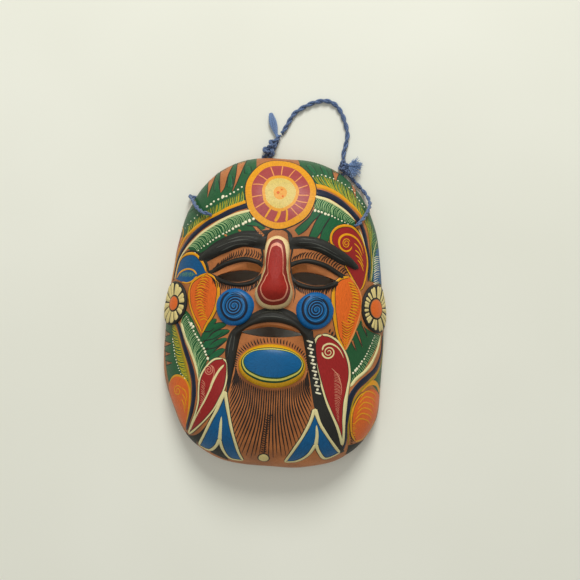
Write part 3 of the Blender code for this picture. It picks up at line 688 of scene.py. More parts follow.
def dome(roll, turn):
    """Skin point at a roll angle down from the crest along a ray: rise = cos(roll) and
    gauge = sin(roll)^(2 / fullness), so the steps stay even down the steep sides."""
    across, along = np.cos(turn), np.sin(turn)
    up = along > 0
    power = np.where(up, CROWN_SQUARENESS, CHIN_SQUARENESS)
    reach = np.where(up, CROWN_REACH, CHIN_REACH)
    norm = (np.abs(across) ** power + np.abs(along) ** power) ** (1.0 / power)
    full = SIDE_FULLNESS + (END_FULLNESS - SIDE_FULLNESS) * np.abs(along / norm) ** 2
    share = np.sin(roll) ** (2.0 / full)
    y = WIDEST_Y + share * reach * along / norm
    x = sway(y) + share * across / norm * side_width(y)
    rim = rim_height(y)
    z = rim + (VAULT_HEIGHT - rim + relief(x, y)) * np.cos(roll)
    return np.stack(np.broadcast_arrays(x, y, z), axis=-1)


def make_wall():
    """Outer skin, rounded rim and inner skin as one closed sheet from pole to pole."""
    around = 400
    turn = np.arange(around)[None, :] * 2 * math.pi / around
    roll = (np.linspace(0, 1, 171)[1:, None]) * math.radians(87.6)
    skin = dome(roll, turn)
    out = unit(slope(skin))
    outer = skin + out * uneven(skin)[..., None]
    edge, edge_out = skin[-1], out[-1] * [1, 1, 0]
    edge_out = unit(edge_out)
    fall = (edge[:, 2] - rim_height(edge[:, 1]))[:, None]
    arc = np.radians(np.linspace(0, 180, 13)[1:-1])
    wave = uneven(edge)[:, None]
    rim_in = (WALL / 2) * (1 - np.sign(np.cos(arc)) * np.abs(np.cos(arc)) ** 0.55)
    rim_down = np.abs(np.sin(arc)) ** 0.55
    rim = (edge[None] - edge_out[None] * (rim_in[:, None] - wave.T * (1 - rim_in[:, None] / WALL))[..., None]
        - np.array([0, 0, 1.0]) * (rim_down[:, None] * fall.T)[..., None])
    inner_roll = (np.linspace(1, 0, 91)[:-1, None]) * math.radians(87.6)
    hollow = dome(inner_roll, turn)
    hollow_out = unit(slope(hollow))
    pressed = 0.35 * np.sin(hollow[..., 0] / 6.0 + 1.3 * np.sin(hollow[..., 1] / 9.0)) \
        + 0.25 * np.sin(hollow[..., 1] / 5.1 + hollow[..., 0] / 11.0)
    fade = smoothstep((math.radians(87.6) - inner_roll) / 0.2)
    inner = hollow - hollow_out * (WALL + pressed * fade)[..., None]
    grid = np.concatenate([outer, rim, inner])
    made = surface("mask_wall", [(grid, True, True, 0.0)], [TERRACOTTA, BARE_CLAY, CUT_CLAY], 50.0)
    return made


def solid(name, points, faces):
    mesh = bpy.data.meshes.new(name)
    mesh.from_pydata((np.asarray(points) * MM).tolist(), [], faces)
    made = bpy.data.objects.new(name, mesh)
    bpy.context.scene.collection.objects.link(made)
    return made


def prism(rings):
    """Closed body through rings of equal count, its ends closed by their own outline."""
    rings = np.asarray(rings)
    layers, count = rings.shape[:2]
    faces = grid_faces(layers, count, True).tolist()
    faces += [list(range(count))[::-1], list(range((layers - 1) * count, layers * count))]
    return rings.reshape(-1, 3), faces


def slot_rings(outline, keep):
    """Upright opening whose upper side leans inwards, with a softly splayed mouth."""
    rim = closed_curve(outline, 96)
    low = rim[:, 1].min()
    centre = rim.mean(axis=0)
    face = float(height(*centre))
    rings = []
    for z, shrink, splay in ((27.0, keep, 1.0), (face - WALL, keep, 1.0), (face - 1.6, 0.955 * keep + 0.045,
            1.0), (face + 0.6, 1.0, 1.0), (face + 7.0, 1.0 + 0.9 * (1 - keep), 1.06)):
        y = low + (rim[:, 1] - low) * shrink
        x = centre[0] + (rim[:, 0] - centre[0]) * splay
        rings.append(np.column_stack([x, y, np.full(len(rim), z)]))
    return rings


def hole_rings(middle):
    """Round hole square to the wall, widening towards its outer mouth."""
    p = over(*middle)[None]
    out = unit(slope(p))[0]
    side = unit(np.cross(out, (0, 0, 1)))
    other = np.cross(out, side)
    turn = np.arange(32)[:, None] * 2 * math.pi / 32
    circle = np.cos(turn) * side + np.sin(turn) * other
    return [p[0] + out * depth + circle * 0.5 * HOLE_DIAMETER * wide for depth, wide in ((-2.5 * WALL, 1.0),
        (-0.7, 1), (0.5, 1.22), (WALL, 1.4))]


def cut_wall(wall):
    """Eyes, mouth and cord holes are cut out at once and the cutters removed."""
    points, faces, start = [], [], 0
    for rings in (slot_rings(EYE_LEFT, 0.64), slot_rings(EYE_RIGHT, 0.64), slot_rings(MOUTH, 0.72),
            hole_rings(HOLES[0]), hole_rings(HOLES[1])):
        more, sides = prism(rings)
        points.append(more)
        faces += [[start + i for i in side] for side in sides]
        start += len(more)
    cutter = solid("cutter", np.vstack(points), faces)
    for body in (wall, cutter):
        tidy_normals(body)
    boolean = wall.modifiers.new("openings", "BOOLEAN")
    boolean.operation, boolean.solver, boolean.object = "DIFFERENCE", "MANIFOLD", cutter
    bpy.context.view_layer.objects.active = wall
    bpy.ops.object.modifier_apply(modifier=boolean.name)
    bpy.data.objects.remove(cutter, do_unlink=True)
    return wall


def tidy_normals(body):
    work = bmesh.new()
    work.from_mesh(body.data)
    bmesh.ops.recalc_face_normals(work, faces=work.faces)
    work.to_mesh(body.data)
    work.free()


def colour_wall(wall):
    """Varnished clay outside, bare clay inside and on the rim, raw dark clay in the openings."""
    mesh = wall.data
    middles = np.empty(len(mesh.polygons) * 3)
    mesh.polygons.foreach_get("center", middles)
    middles = middles.reshape(-1, 3) / MM
    g = slope(middles)
    depth = -implicit(middles) / np.maximum(np.linalg.norm(g, axis=1), 1e-6)
    kind = np.where(depth < 0.9, 0, 1)
    low = middles[:, 2] - rim_height(middles[:, 1])
    kind[low < 0.5] = 1
    facing = np.empty(len(mesh.polygons) * 3)
    mesh.polygons.foreach_get("normal", facing)
    upright = np.abs((facing.reshape(-1, 3) * unit(g)).sum(1)) < 0.75
    inside_wall = (depth > 0.9) & (depth < WALL - 0.9)
    kind[(upright | inside_wall) & (low > 12.0)] = 2
    mesh.polygons.foreach_set("material_index", kind.astype(np.int32))
    mesh.shade_smooth()
    mesh.set_sharp_from_angle(angle=math.radians(42.0))


wall = cut_wall(make_wall())
colour_wall(wall)
place(wall, "root", "bare_clay", "mask_shell")


# --------------------------------------------------------------------------- raised features

def closed_slab(front, back):
    """Front grid and back grid joined round their four edges into one closed grid: each row runs
    over the front and returns over the back."""
    return np.concatenate([front, back[:, ::-1]], axis=1)


def make_ridge(name, finish):
    """Ridge surface over its centreline, 17 points across, sunk a little into the wall."""
    path = ridge_paths[name]
    middle, half = path[:, :2], path[:, 2:3]
    along = unit(np.gradient(middle, axis=0))
    side = np.column_stack([-along[:, 1], along[:, 0]])
    across = np.sin(np.linspace(-math.pi / 2, math.pi / 2, 17))[None, :]
    x = middle[:, :1] + side[:, :1] * half * across
    y = middle[:, 1:] + side[:, 1:] * half * across
    share = np.linspace(0.0, 1.0, len(path))[:, None]
    taper = np.minimum(1.0, 6.0 * np.minimum(share, 1.0 - share) + 0.25)
    rise = RIDGES[name][1] * taper * np.maximum(1.0 - np.abs(across) ** 2.3, 0.0) ** 0.8
    base = over(x, y)
    front = raised(base, rise + 0.02)
    back = raised(base, np.full_like(x, -0.5))
    return surface(name + "_clay", [(closed_slab(front, back), True, True, 0.2)], finish)


def make_rings(name, x_at, y_at, rise_at, bands, around, warp):
    """Boss of nested rings from its rim to its middle. bands lists (share, finish) from the rim in;
    each band's edge wavers a little, as a brush does."""
    shares = [1.0]
    for outer, inner in zip([b[0] for b in bands], [b[0] for b in bands[1:]] + [0.0]):
        steps = max(int(round((outer - inner) / 0.055)), 2)
        shares += list(np.linspace(outer, inner, steps + 1)[1:])
    shares = np.array(shares)
    shares = shares[shares > 1e-6]
    turn = np.arange(around)[None, :] * 2 * math.pi / around
    waver = warp * (np.sin(3 * turn + 0.5) + 0.6 * np.sin(5 * turn + 2.0) + 0.5 * np.sin(9 * turn))
    share = shares[:, None] * (1.0 + waver * (1.0 - shares[:, None]) * shares[:, None] * 4.0)
    x, y = x_at(share, turn), y_at(share, turn)
    base = over(x, y)
    front = raised(base, rise_at(share, x, y) + 0.02)
    back = raised(base[:1], np.full_like(x[:1], -0.5))
    order = list(dict.fromkeys(finish for _, finish in bands))
    made = surface(name, [(np.concatenate([back, front]), True, True, 0.1)], order, 80.0)
    index = np.zeros(len(made.data.polygons), np.int32)
    quad_share = 0.5 * (shares[:-1] + shares[1:])
    limits = np.array([b[0] for b in bands])
    band_of = (quad_share[:, None] < limits[None, :]).sum(axis=1) - 1
    per_ring = np.array([order.index(bands[max(k, 0)][1]) for k in band_of])
    index[around:around + len(per_ring) * around] = np.repeat(per_ring, around)
    index[:around] = order.index(bands[0][1])
    index[-around:] = order.index(bands[-1][1])
    made.data.polygons.foreach_set("material_index", index)
    tidy_normals(made)
    made.data.shade_smooth()
    return made


NOSE_LINE = [(0, 0.71), (45, 0.63), (60, 0.51), (70, 0.49), (75, 0.58), (79, 0.72), (83, 0.825), (90, 0.84),
    (97, 0.825), (101, 0.72), (105, 0.58), (110, 0.49), (122, 0.53), (140, 0.62), (180, 0.66), (225, 0.71),
    (270, 0.71), (315, 0.72)]


def make_nose():
    """Pear boss; its red middle keeps to a narrower pear whose share of the outline is NOSE_LINE."""
    rim = closed_curve(NOSE, 144)
    dx, dy = (rim[:, 0] - NOSE_CENTRE[0])[None, :], (rim[:, 1] - NOSE_CENTRE[1])[None, :]
    angles, shares = np.array(NOSE_LINE, float).T
    inner = np.interp(np.degrees(np.arctan2(dy, dx)), angles, shares, period=360.0)

    def warped(share):
        return np.where(share > 0.6, inner + (1.0 - inner) * (share - 0.6) / 0.4, inner * share / 0.6)

    return make_rings("nose_clay", lambda s, t: NOSE_CENTRE[0] + warped(s) * dx, lambda s,
        t: NOSE_CENTRE[1] + warped(s) * dy, lambda s, x, y: nose_rise(x, y), [(1.0, NOSE_CREAM),
        (0.80, DARK_RED), (0.60, PINK), (0.55, NOSE_RED)], 144, 0.012)


def make_lip():
    """Oval boss; the blue dome is a smaller oval set a little high, bands between the two."""
    def blend(share, outer, inner):
        return np.where(share > 0.7, inner + (outer - inner) * (share - 0.7) / 0.3, inner * share / 0.7)

    def x_at(s, t):
        return blend(s, 0.2 + 20.4 * np.cos(t), 0.4 + 16.3 * np.cos(t)) + 0.4 * (1 - s)

    def y_at(s, t):
        return -29.0 + blend(s, -2.6 + 13.3 * np.sin(t), 7.7 * np.sin(t))

    return make_rings("lip_boss_clay", x_at, y_at, lambda s, x, y: oval_rise(x, y, LIP_CENTRE, LIP_RADII,
        LIP_HEIGHT, 3.0), [(1.0, LIP_YELLOW), (0.85, DARK_GREEN), (0.80, LIP_CREAM), (0.75, DARK_GREEN),
        (0.715, BLUE)], 120, 0.012)


def make_cheek(name):
    """Low flat-topped disc, its outline a little out of round."""
    cx, cy = CHEEKS[name]

    def reach(s, t):
        return CHEEK_RADIUS * s * (1.02 + 0.022 * np.sin(2 * t + 0.4) + 0.014 * np.sin(3 * t + cx) + 0.01
            * np.sin(5 * t))

    return make_rings(name + "_clay", lambda s, t: cx + reach(s, t) * np.cos(t), lambda s,
        t: cy + reach(s, t) * np.sin(t), lambda s, x, y: feature_rise(name, x, y),
        [(1.0, CHEEK_BLUE), (0.74, BLUE)], 120, 0.012)


for name in RIDGES:
    place(make_ridge(name, BLACK), "root", "black_paint", name)
place(make_nose(), "root", "red_paint", "nose")
place(make_lip(), "root", "blue_paint", "lip_boss")
for name in CHEEKS:
    place(make_cheek(name), "root", "blue_paint", name)


# ---------------------------------------------------------------------------- the brush

GROUND, FIELD, SHAPE, EDGE, LINE, DOT = 0.07, 0.12, 0.17, 0.23, 0.29, 0.34
SUNK = -0.12


def lay(name, points, lift, wrap=False, on=()):
    tone = float(rng.uniform(0, 1))
    coats[name][2].append((points, np.broadcast_to(lift, points.shape[:2]), wrap, on, tone))


def centreline(line, step):
    """Dense skin points under a line of (x, y) places, or the given points if they are in space."""
    line = np.asarray(line, float)
    if line.shape[1] == 3:
        return on_wall(space_curve(line, step), 5)
    path = open_curve(line, step)
    return over(path[:, 0], path[:, 1])


def ends_shape(count, start, finish):
    """1 along the middle, falling as a quarter circle over the start and finish shares."""
    s = np.linspace(0.0, 1.0, count)
    near = np.clip(s / max(start, 1e-3), 0, 1), np.clip((1 - s) / max(finish, 1e-3), 0, 1)
    return np.prod([np.sqrt(np.maximum(1.0 - (1.0 - n) ** 2, 0.0)) for n in near], axis=0)


def stroke(name, line, width, lift, ends, step=1.0, on=(), columns=5, waver=0.06):
    """Ribbon along a line: width across in mm (one value or one for each control point), shaped by
    its ends, its two edges sunk under the paint below and its middle a little fuller."""
    middle = centreline(line, step)
    count = len(middle)
    width = np.interp(np.linspace(0, 1, count), np.linspace(0, 1, np.size(width)), np.ravel(width))
    along = unit(np.gradient(middle, axis=0))
    side = unit(np.cross(unit(slope(middle)), along))
    phase = rng.uniform(0, 6)
    run = np.arange(count) * step
    half = 0.5 * width * (1.0 + waver * np.sin(run / 2.1 + phase)) * ends_shape(count, *ends)
    across = {4: [-1, -0.8, 0.8, 1], 5: [-1, -0.86, 0, 0.86, 1]}[columns]
    across = np.array(across, float)
    crown = np.where(np.abs(across) > 0.95, SUNK, lift + 0.03 * (1 - across**2))
    points = middle[:, None] + side[:, None] * (half[:, None] * across)[..., None]
    lay(name, points, crown[None, :], False, on)


def outlined(name, line, width, lift, ends):
    """Line of colour over a slightly wider black one, whose edges show as a fine dark rim."""
    stroke("thin_black", line, np.array(width) + 0.9, lift - 0.06, ends)
    stroke(name, line, width, lift, ends)


def fill(name, left, right, lift, grain=1.6, on=()):
    """Area of paint between two lines, stretched evenly from one to the other, with sunk edges."""
    a, b = centreline(left, 0.8), centreline(right, 0.8)
    rows = max(int(max(len(a), len(b)) * 0.8 / grain), 4)
    at = np.linspace(0, 1, rows)
    at = np.concatenate([[0.0], at * 0.998 + 0.001, [1.0]])
    a = np.stack([np.interp(at, np.linspace(0, 1, len(a)), c) for c in a.T], axis=1)
    b = np.stack([np.interp(at, np.linspace(0, 1, len(b)), c) for c in b.T], axis=1)
    wide = np.linalg.norm(a - b, axis=1)
    columns = max(int(wide.max() / grain), 3)
    rim = min(0.5 * 0.12 / max(wide.max(), 0.5), 0.04)
    v = np.concatenate([[0.0], np.linspace(rim, 1 - rim, columns), [1.0]])
    points = on_wall(a[:, None] * (1 - v)[None, :, None] + b[:, None] * v[None, :, None], 5)
    lifts = np.full(points.shape[:2], lift)
    lifts[:, [0, -1]] = SUNK
    lifts[[0, -1]] = SUNK
    lay(name, points, lifts, False, on)


def blot(name, x, y, size, lift, on=(), aspect=1.0, turn=0.0, crown=0.1, sides=10):
    """Round dab: rings at shares 1, 0.85, 0.5 and 0.02 of its radius, fullest in the middle."""
    middle = over(np.array([x]), np.array([y]))
    out = unit(slope(middle))
    side = unit(np.cross([0.0, 1.0, 0.0], out))
    other = np.cross(out, side)
    t = np.arange(sides) * 2 * math.pi / sides
    share = np.array([1.0, 0.85, 0.5, 0.02])[:, None, None]
    c, s = math.cos(turn), math.sin(turn)
    u, v = np.cos(t) * aspect, np.sin(t)
    u, v = u * c - v * s, u * s + v * c
    ring = side[None] * u[None, :, None] + other[None] * v[None, :, None]
    points = middle[None] + 0.5 * size * share * ring
    lifts = np.array([SUNK, lift, lift + 0.7 * crown, lift + crown])[:, None]
    lay(name, points, lifts, True, on)


def curl(name, centre, reach, shrink, turns, start, rate, squash, width, ends, step, columns=5):
    """Spiral: after an angle a the reach is reach - shrink a, seen at start + rate a and squashed."""
    turn = np.linspace(0, turns[0] * math.pi, turns[1])
    reach = reach - shrink * turn
    stroke(name, np.column_stack([centre[0] + squash[0] * reach * np.cos(start + rate * turn),
        centre[1] + squash[1] * reach * np.sin(start + rate * turn)]), width, LINE, ends, step,
        columns=columns)


def along_line(line, count, start=0.0, finish=1.0):
    """count places evenly along a line of (x, y) places."""
    path = open_curve(line, 0.5)
    at = np.linspace(start, finish, count)
    return np.stack([np.interp(at, np.linspace(0, 1, len(path)), c) for c in path.T], axis=1)


def hairs(name, roots, tips, count, width, bow, lift=FIELD, on=(), ends=(0.1, 0.9), start=0.0, finish=1.0,
        jitter=0.25):
    """Fine tapering strokes from places on one line to places on another, each bowed sideways."""
    first = along_line(roots, count, start, finish) + rng.normal(0, jitter * 0.3, (count, 2))
    last = along_line(tips, count, start, finish) + rng.normal(0, jitter, (count, 2))
    for p, q in zip(first, last):
        across = np.array([-(q - p)[1], (q - p)[0]])
        middle = (p + q) / 2 + across * (bow + rng.normal(0, 0.03))
        stroke(name, [p, middle, q], width * rng.uniform(0.85, 1.2), lift, ends, 0.9, on, 4)


def dots(line, count, first, last):
    """Row of cream dabs along a line, their size running from first to last."""
    for k, (x, y) in enumerate(along_line(line, count)):
        size = first + (last - first) * k / max(count - 1, 1)
        blot("dots_cream", x + rng.normal(0, 0.15), y + rng.normal(0, 0.15), size * rng.uniform(0.85, 1.15),
            DOT, aspect=rng.uniform(0.8, 1.0), turn=rng.uniform(0, 3.1), sides=9)


def dry_coats():
    """Turns every coat into one piece: all its points are raised together, then split again."""
    for name, (finish, slot, items) in coats.items():
        if not items:
            continue
        groups = {}
        for index, item in enumerate(items):
            groups.setdefault(item[3], []).append(index)
        grids = [None] * len(items)
        for on, members in groups.items():
            flat = np.vstack([items[k][0].reshape(-1, 3) for k in members])
            lifts = np.concatenate([np.ravel(items[k][1]) for k in members])
            flat = raised(flat, lifts, on)
            start = 0
            for k in members:
                shape = items[k][0].shape
                size = shape[0] * shape[1]
                grids[k] = (flat[start:start + size].reshape(shape), items[k][2], False, items[k][4])
                start += size
        piece = surface(name, grids, finish, 70.0)
        face_outwards(piece)
        place(piece, "root", slot)


def face_outwards(piece):
    """Turns round any face that looks in towards the wall, since a stroke may run either way."""
    work = bmesh.new()
    work.from_mesh(piece.data)
    work.faces.ensure_lookup_table()
    middles = np.array([f.calc_center_median() for f in work.faces]) / MM
    facing = np.array([f.normal for f in work.faces])
    wrong = (facing * slope(middles)).sum(1) < 0
    bmesh.ops.reverse_faces(work, faces=[f for f, w in zip(work.faces, wrong) if w])
    work.to_mesh(piece.data)
    work.free()
    piece.data.shade_smooth()


# --------------------------------------------------------------------------- colours of paint

GREEN = enamel("green_enamel", (34, 92, 52), 0.34)
GREEN_BRIGHT = enamel("green_bright_enamel", (28, 98, 58), 0.34)
HAIR_GREEN = enamel("hair_green_enamel", (120, 168, 84), 0.2)
HAIR_PALE = enamel("hair_pale_enamel", (176, 210, 146), 0.16)
HAIR_YELLOW = enamel("hair_yellow_enamel", (196, 182, 30), 0.2)
SUN_YELLOW = enamel("sun_yellow_enamel", (228, 154, 6), 0.2)
LEAF_YELLOW = enamel("leaf_yellow_enamel", (232, 160, 12), 0.14)
OLIVE = enamel("olive_enamel", (166, 140, 20), 0.16)
SUN_CREAM = enamel("sun_cream_enamel", (216, 190, 96), 0.3)
ROSE = enamel("rose_enamel", (166, 64, 62), 0.16)
ORANGE = enamel("orange_enamel", (230, 106, 30), 0.2)
PALE_ORANGE = enamel("pale_orange_enamel", (232, 150, 78), 0.12)
# grey for streaks of painted highlight on the black brows and moustache: the sheen of the light on the enamel
SHEEN_GREY = enamel("painted_sheen_enamel", (84, 86, 80), 0.3, 0.5, 0.0)
DEEP_ORANGE = enamel("deep_orange_enamel", (150, 62, 20), 0.2)
RED = enamel("leaf_red_enamel", (156, 34, 32), 0.16)
SPRING_CREAM = enamel("outline_cream_enamel", (232, 220, 160), 0.12)
WHITE = enamel("dot_cream_enamel", (246, 240, 206), 0.08)
SKY = enamel("light_blue_enamel", (60, 130, 190), 0.16)
BEARD_BROWN = enamel("beard_enamel", (44, 30, 22), 0.2)
FAN_BLUE = enamel("fan_blue_enamel", (6, 88, 140), 0.3)

# every coat of paint becomes one piece of one finish; its strokes are gathered in the list
coats = {name: (finish, slot, []) for name, finish, slot in (("ground_green", GREEN, "green_paint"),
    ("gap_clay", TERRACOTTA, "bare_clay"), ("fingers_green", GREEN_BRIGHT, "green_paint"),
    ("hair_green", HAIR_GREEN, "light_green_paint"), ("hair_pale", HAIR_PALE, "light_green_paint"),
    ("hair_yellow", HAIR_YELLOW, "yellow_paint"), ("face_black", BLACK, "black_paint"), ("thin_black", BLACK,
    "black_paint"), ("painted_sheen_streaks", SHEEN_GREY, "black_paint"), ("leaf_deep_lines", DEEP_ORANGE, "orange_paint"),
    ("band_navy", NAVY, "navy_paint"), ("band_yellow", LEAF_YELLOW, "yellow_paint"), ("band_cream",
    SPRING_CREAM, "cream_paint"), ("band_olive", OLIVE, "yellow_paint"), ("leaf_orange", ORANGE,
    "orange_paint"), ("leaf_yellow_lines", LEAF_YELLOW, "yellow_paint"), ("leaf_red", RED, "red_paint"),
    ("leaf_rose", ROSE, "rose_paint"), ("leaf_cream_lines", SPRING_CREAM, "cream_paint"),
    ("leaf_pink_lines", PINK, "rose_paint"), ("arrow_blue", BLUE, "blue_paint"), ("fan_blue", FAN_BLUE,
    "blue_paint"), ("dots_cream", WHITE, "cream_paint"), ("sun_lines", PALE_ORANGE, "orange_paint"),
    ("cheek_navy", NAVY, "navy_paint"), ("cheek_sky", SKY, "blue_paint"), ("beard", BEARD_BROWN,
    "black_paint"), ("lashes", BEARD_BROWN, "black_paint"), ("petals_cream", CREAM, "cream_paint"),
    ("paisley_lines", LEAF_YELLOW, "orange_paint"))}


# ------------------------------------------------------------------------------- the ground

YELLOW_L = [(-19.5, 68.5), (-28, 65), (-36, 61), (-43.5, 57), (-50, 53), (-55.5, 48.5), (-60, 44.5),
    (-63.5, 37.5), (-66.5, 28), (-68, 17)]
NAVY_L = [(-19, 66), (-28, 62.5), (-35, 59), (-43.5, 54.5), (-50, 49.5), (-56, 44), (-60, 38.5), (-64, 31),
    (-66, 23), (-66.5, 17)]
CREAM_L = [(-18, 62.5), (-27.5, 59.5), (-36, 55.5), (-43, 51), (-48.5, 47), (-53.5, 42.5), (-57.5, 38),
    (-61.5, 32.5), (-64, 27), (-65.5, 18)]
YELLOW_R = [(19.5, 81), (26.5, 80), (32.5, 78), (37.5, 75.5), (42.5, 72), (47.5, 68), (51, 64.5), (54, 60.5)]
NAVY_R = [(21, 76.5), (29, 75), (36, 72), (42, 68), (46.5, 64), (50.5, 59.5), (53, 54.5), (55, 48), (57, 40),
    (58, 32), (57.5, 22.5)]
CREAM_R = [(21, 73.5), (28, 72), (34, 69.5), (39.5, 66.5), (44, 63), (47, 60)]
DOTS_LOW_L = [(-16, 57), (-22, 54), (-30, 49.5), (-36.5, 45.5), (-43, 41.5), (-51.5, 35)]
DOTS_UP_L = [(-24.5, 77), (-29, 74), (-33.5, 71.5), (-38.5, 69), (-43.5, 66), (-46, 64.5)]
DOTS_LEFT_L = [(-52, 59), (-54, 57), (-57.5, 54), (-60, 51)]
DOTS_R = [(21.5, 64.5), (26.5, 63.5), (31, 62), (35, 60.5), (38.5, 59.5), (42.5, 58)]
DOTS_UP_R = [(19.5, 87), (24, 88), (28.5, 87.5), (35, 85.5), (40, 83.5), (45, 80.5), (48.5, 76), (52, 72.5),
    (55, 68)]
NAVY_LOW_L = [(-62.5, -8), (-59.5, -13), (-55.5, -23.5), (-50.5, -35.5), (-48, -44.5), (-47.5, -54),
    (-48.5, -62.5), (-51, -71), (-52.5, -78)]
CREAM_LOW_L = [(-58.5, -9), (-55, -18), (-50, -28), (-46.5, -36.5), (-44.5, -44)]
OLIVE_LOW_L = [(-65, -8), (-62, -13.5), (-58, -23.5), (-54, -34), (-51, -44), (-50, -52), (-50, -61),
    (-52.5, -72)]
NAVY_LOW_R = [(70, -11.5), (69.5, -23), (66.5, -32), (60.5, -37.5), (54.5, -42.5), (50, -49), (48.5, -57),
    (47.5, -67), (48, -76.5), (47.5, -84)]
CREAM_LOW_R = [(68.5, -11), (66.5, -20.5), (63, -28.5), (58.5, -33.5), (53, -38), (49, -43)]
OLIVE_LOW_R = [(71.2, -14.5), (70.8, -26.5), (68, -34.5), (62, -40), (56.5, -45), (51.5, -52), (49.8, -61),
    (49.5, -70.5), (50.5, -80.5)]
DOTS_LOW_R = [(50.5, -34.5), (54, -30.5), (57.5, -25.5), (60.5, -19.5), (64, -11)]
DOTS_RIGHT_OF_L = [(-55, -5), (-50, -13), (-46, -18.5), (-42, -24.5), (-39.5, -29.5)]
DOTS_LEFT_OF_L = [(-64, -20), (-62, -29), (-60, -34.5), (-57.5, -40), (-54, -43.5)]


def paint_ground():
    """Green fields on the clay, down to the rim, and the clay wedges left bare between them."""
    fill("ground_green", [(-17, 99), (-36, 94), (-51, 85), (-60, 76), (-66, 64), (-69, 53), (-69.5, 49)],
        [(-16, 88), (-21, 76), (-21.5, 69), (-36, 61.5), (-50, 53.5), (-57, 47.5), (-60.5, 45)], GROUND)
    fill("ground_green", CREAM_L[:7], [(-8, 51.5), (-14, 49), (-22, 47.5), (-31, 44.5), (-39.5, 40),
        (-46, 35.5), (-52, 34.5)], GROUND)
    fill("ground_green", [(9, 101), (21, 100), (34, 96), (46, 89.5), (56, 80), (63, 68), (68, 53), (71, 36),
        (72.5, 22)], [(11, 93.5), (19, 86), (22, 80.5), (33, 78), (43, 72), (51.5, 64.5), (56.5, 52),
        (58.5, 38), (58.5, 23)], GROUND)
    fill("ground_green", CREAM_R, [(21, 63), (25.5, 61), (31, 59.5), (37, 58), (42, 57), (47, 56.5)], GROUND)
    fill("ground_green", [(-71, -11), (-70.5, -26), (-68.5, -39), (-65.5, -50), (-60, -64)],
        [(-63.5, -10), (-59, -20), (-55, -31), (-51.5, -42), (-51, -52)], GROUND)
    fill("ground_green", CREAM_LOW_L, [(-57, 0), (-52, -4.5), (-47.5, -12), (-43, -20), (-39.5, -30.5)],
        GROUND)
    fill("ground_green", [(54, -1), (56, -5), (61, -8.5), (67, -10.5), (68.5, -12)], [(45, -20), (46.5, -27),
        (48.5, -35), (49, -41), (55, -36.5)], GROUND)
    fill("ground_green", [(72, -9), (71.9, -25), (71.5, -38), (70, -50)], [(70.5, -10), (70.5, -24),
        (67.5, -36), (62.5, -41.5)], GROUND)
    for left, right in (([(-22.5, 99), (-25.5, 88), (-28, 79.5), (-30, 74.5)], [(-29.5, 97), (-29, 88),
            (-29.5, 80), (-30.4, 74.4)]), ([(-31, 96), (-34, 86), (-35.5, 77), (-37.4, 73.6)],
            [(-40.5, 92), (-39.5, 83.5), (-38.8, 77), (-37.8, 73.5)]), ([(-42, 91), (-44, 80), (-46, 70.6)],
            [(-48.5, 87), (-47, 78), (-46.3, 70.5)]), ([(31, 95), (32, 90), (33, 85.6)], [(36.5, 92),
            (35, 88), (34.4, 85.6)]), ([(43.5, 88), (45, 81.5), (46.6, 75.6)], [(47.5, 85), (47.5, 80),
            (47.2, 75.4)]), ([(-71.5, -15), (-66.2, -17)], [(-71.5, -20), (-66.2, -17.4)]),
            ([(-71.5, -22), (-65.2, -23)], [(-71.5, -26.5), (-65.2, -23.4)]), ([(-71, -28.5), (-65.2, -29.4)],
            [(-70.5, -32.5), (-65.2, -29.8)]), ([(-70, -34.5), (-63.7, -35)], [(-69, -38), (-63.7, -35.4)]),
            ([(53, -2), (56, -7), (58.5, -12)], [(56, -5.5), (57.5, -8.5), (58.7, -12)]), ([(50, -7.5),
            (52.5, -12.5), (55.6, -18.2)], [(52, -8.5), (54, -13), (55.8, -18.2)]), ([(47.5, -14),
            (49.5, -17.5), (51.6, -20.4)], [(49.5, -14.5), (50.8, -17.5), (51.8, -20.4)]), ([(-16, 52.5),
            (-13, 49), (-10, 45.5)], [(-14, 52.8), (-10.5, 50), (-8.5, 47.5)])):
        fill("gap_clay", left, right, FIELD)
        for edge in (left, right):
            stroke("thin_black", edge, 0.55, EDGE - 0.04, (0.1, 0.3))
    for x, y in ((-24, 49.6), (-32.5, 46.4)):
        blot("gap_clay", x, y, 2.4, FIELD, aspect=0.6, turn=1.2, crown=0.0)


def paint_fingers():
    """Broad tapering leaves of brighter green under the bands and beside the cheek."""
    for left, right in (([(20.5, 65), (18, 60), (13, 55), (9.5, 51.5)], [(26, 63.5), (20.5, 57.5), (16.5, 52),
            (12, 48.5)]), ([(25, 63.5), (21, 55), (17.8, 46)], [(31.5, 61.5), (26.5, 52.5), (22.4, 46.2)]),
            ([(31.5, 61.5), (27, 54), (25, 46)], [(41, 58.5), (34.5, 54.5), (30.2, 45.5)]),
            ([(-16, 56), (-13, 55), (-8, 52)], [(-20, 53), (-16, 52.8), (-12, 52.5)])):
        fill("fingers_green", left, right, FIELD)
        for edge in (left, right):
            stroke("thin_black", edge, 0.6, EDGE - 0.04, (0.1, 0.3))
    for line, width in (([(-43.5, -15), (-40.5, -10), (-35, -5)], 4.2), ([(-44, -19.5), (-38, -11.5),
            (-28.5, -7.5)], 4.6), ([(-43, -24), (-35.5, -15.5), (-26.5, -11.5)], 4.6), ([(-41, -28),
            (-35, -21), (-28, -16.5)], 4.6), ([(-39, -31), (-34, -26.5), (-29, -23)], 4.2),
            ([(-21, 86), (-22.5, 92)], 5.0), ([(-32, 76.5), (-33, 86)], 4.0),
            ([(-40.5, 74.5), (-42, 83)], 4.0), ([(25, 95), (29, 86)], 4.0), ([(16, 95.5), (21, 88.5)], 4.0),
            ([(-63, 62), (-55, 64)], 3.6)):
        stroke("thin_black", line, width + 0.9, GROUND + 0.02, (0.2, 0.55), 1.0)
        stroke("fingers_green", line, width, FIELD, (0.2, 0.55), 1.0)
    hairs("face_black", [(-43.5, -13.5), (-43, -18), (-42, -24.5)], [(-36, -10.5), (-31, -13), (-29, -18)], 3,
        0.7, -0.12, EDGE)


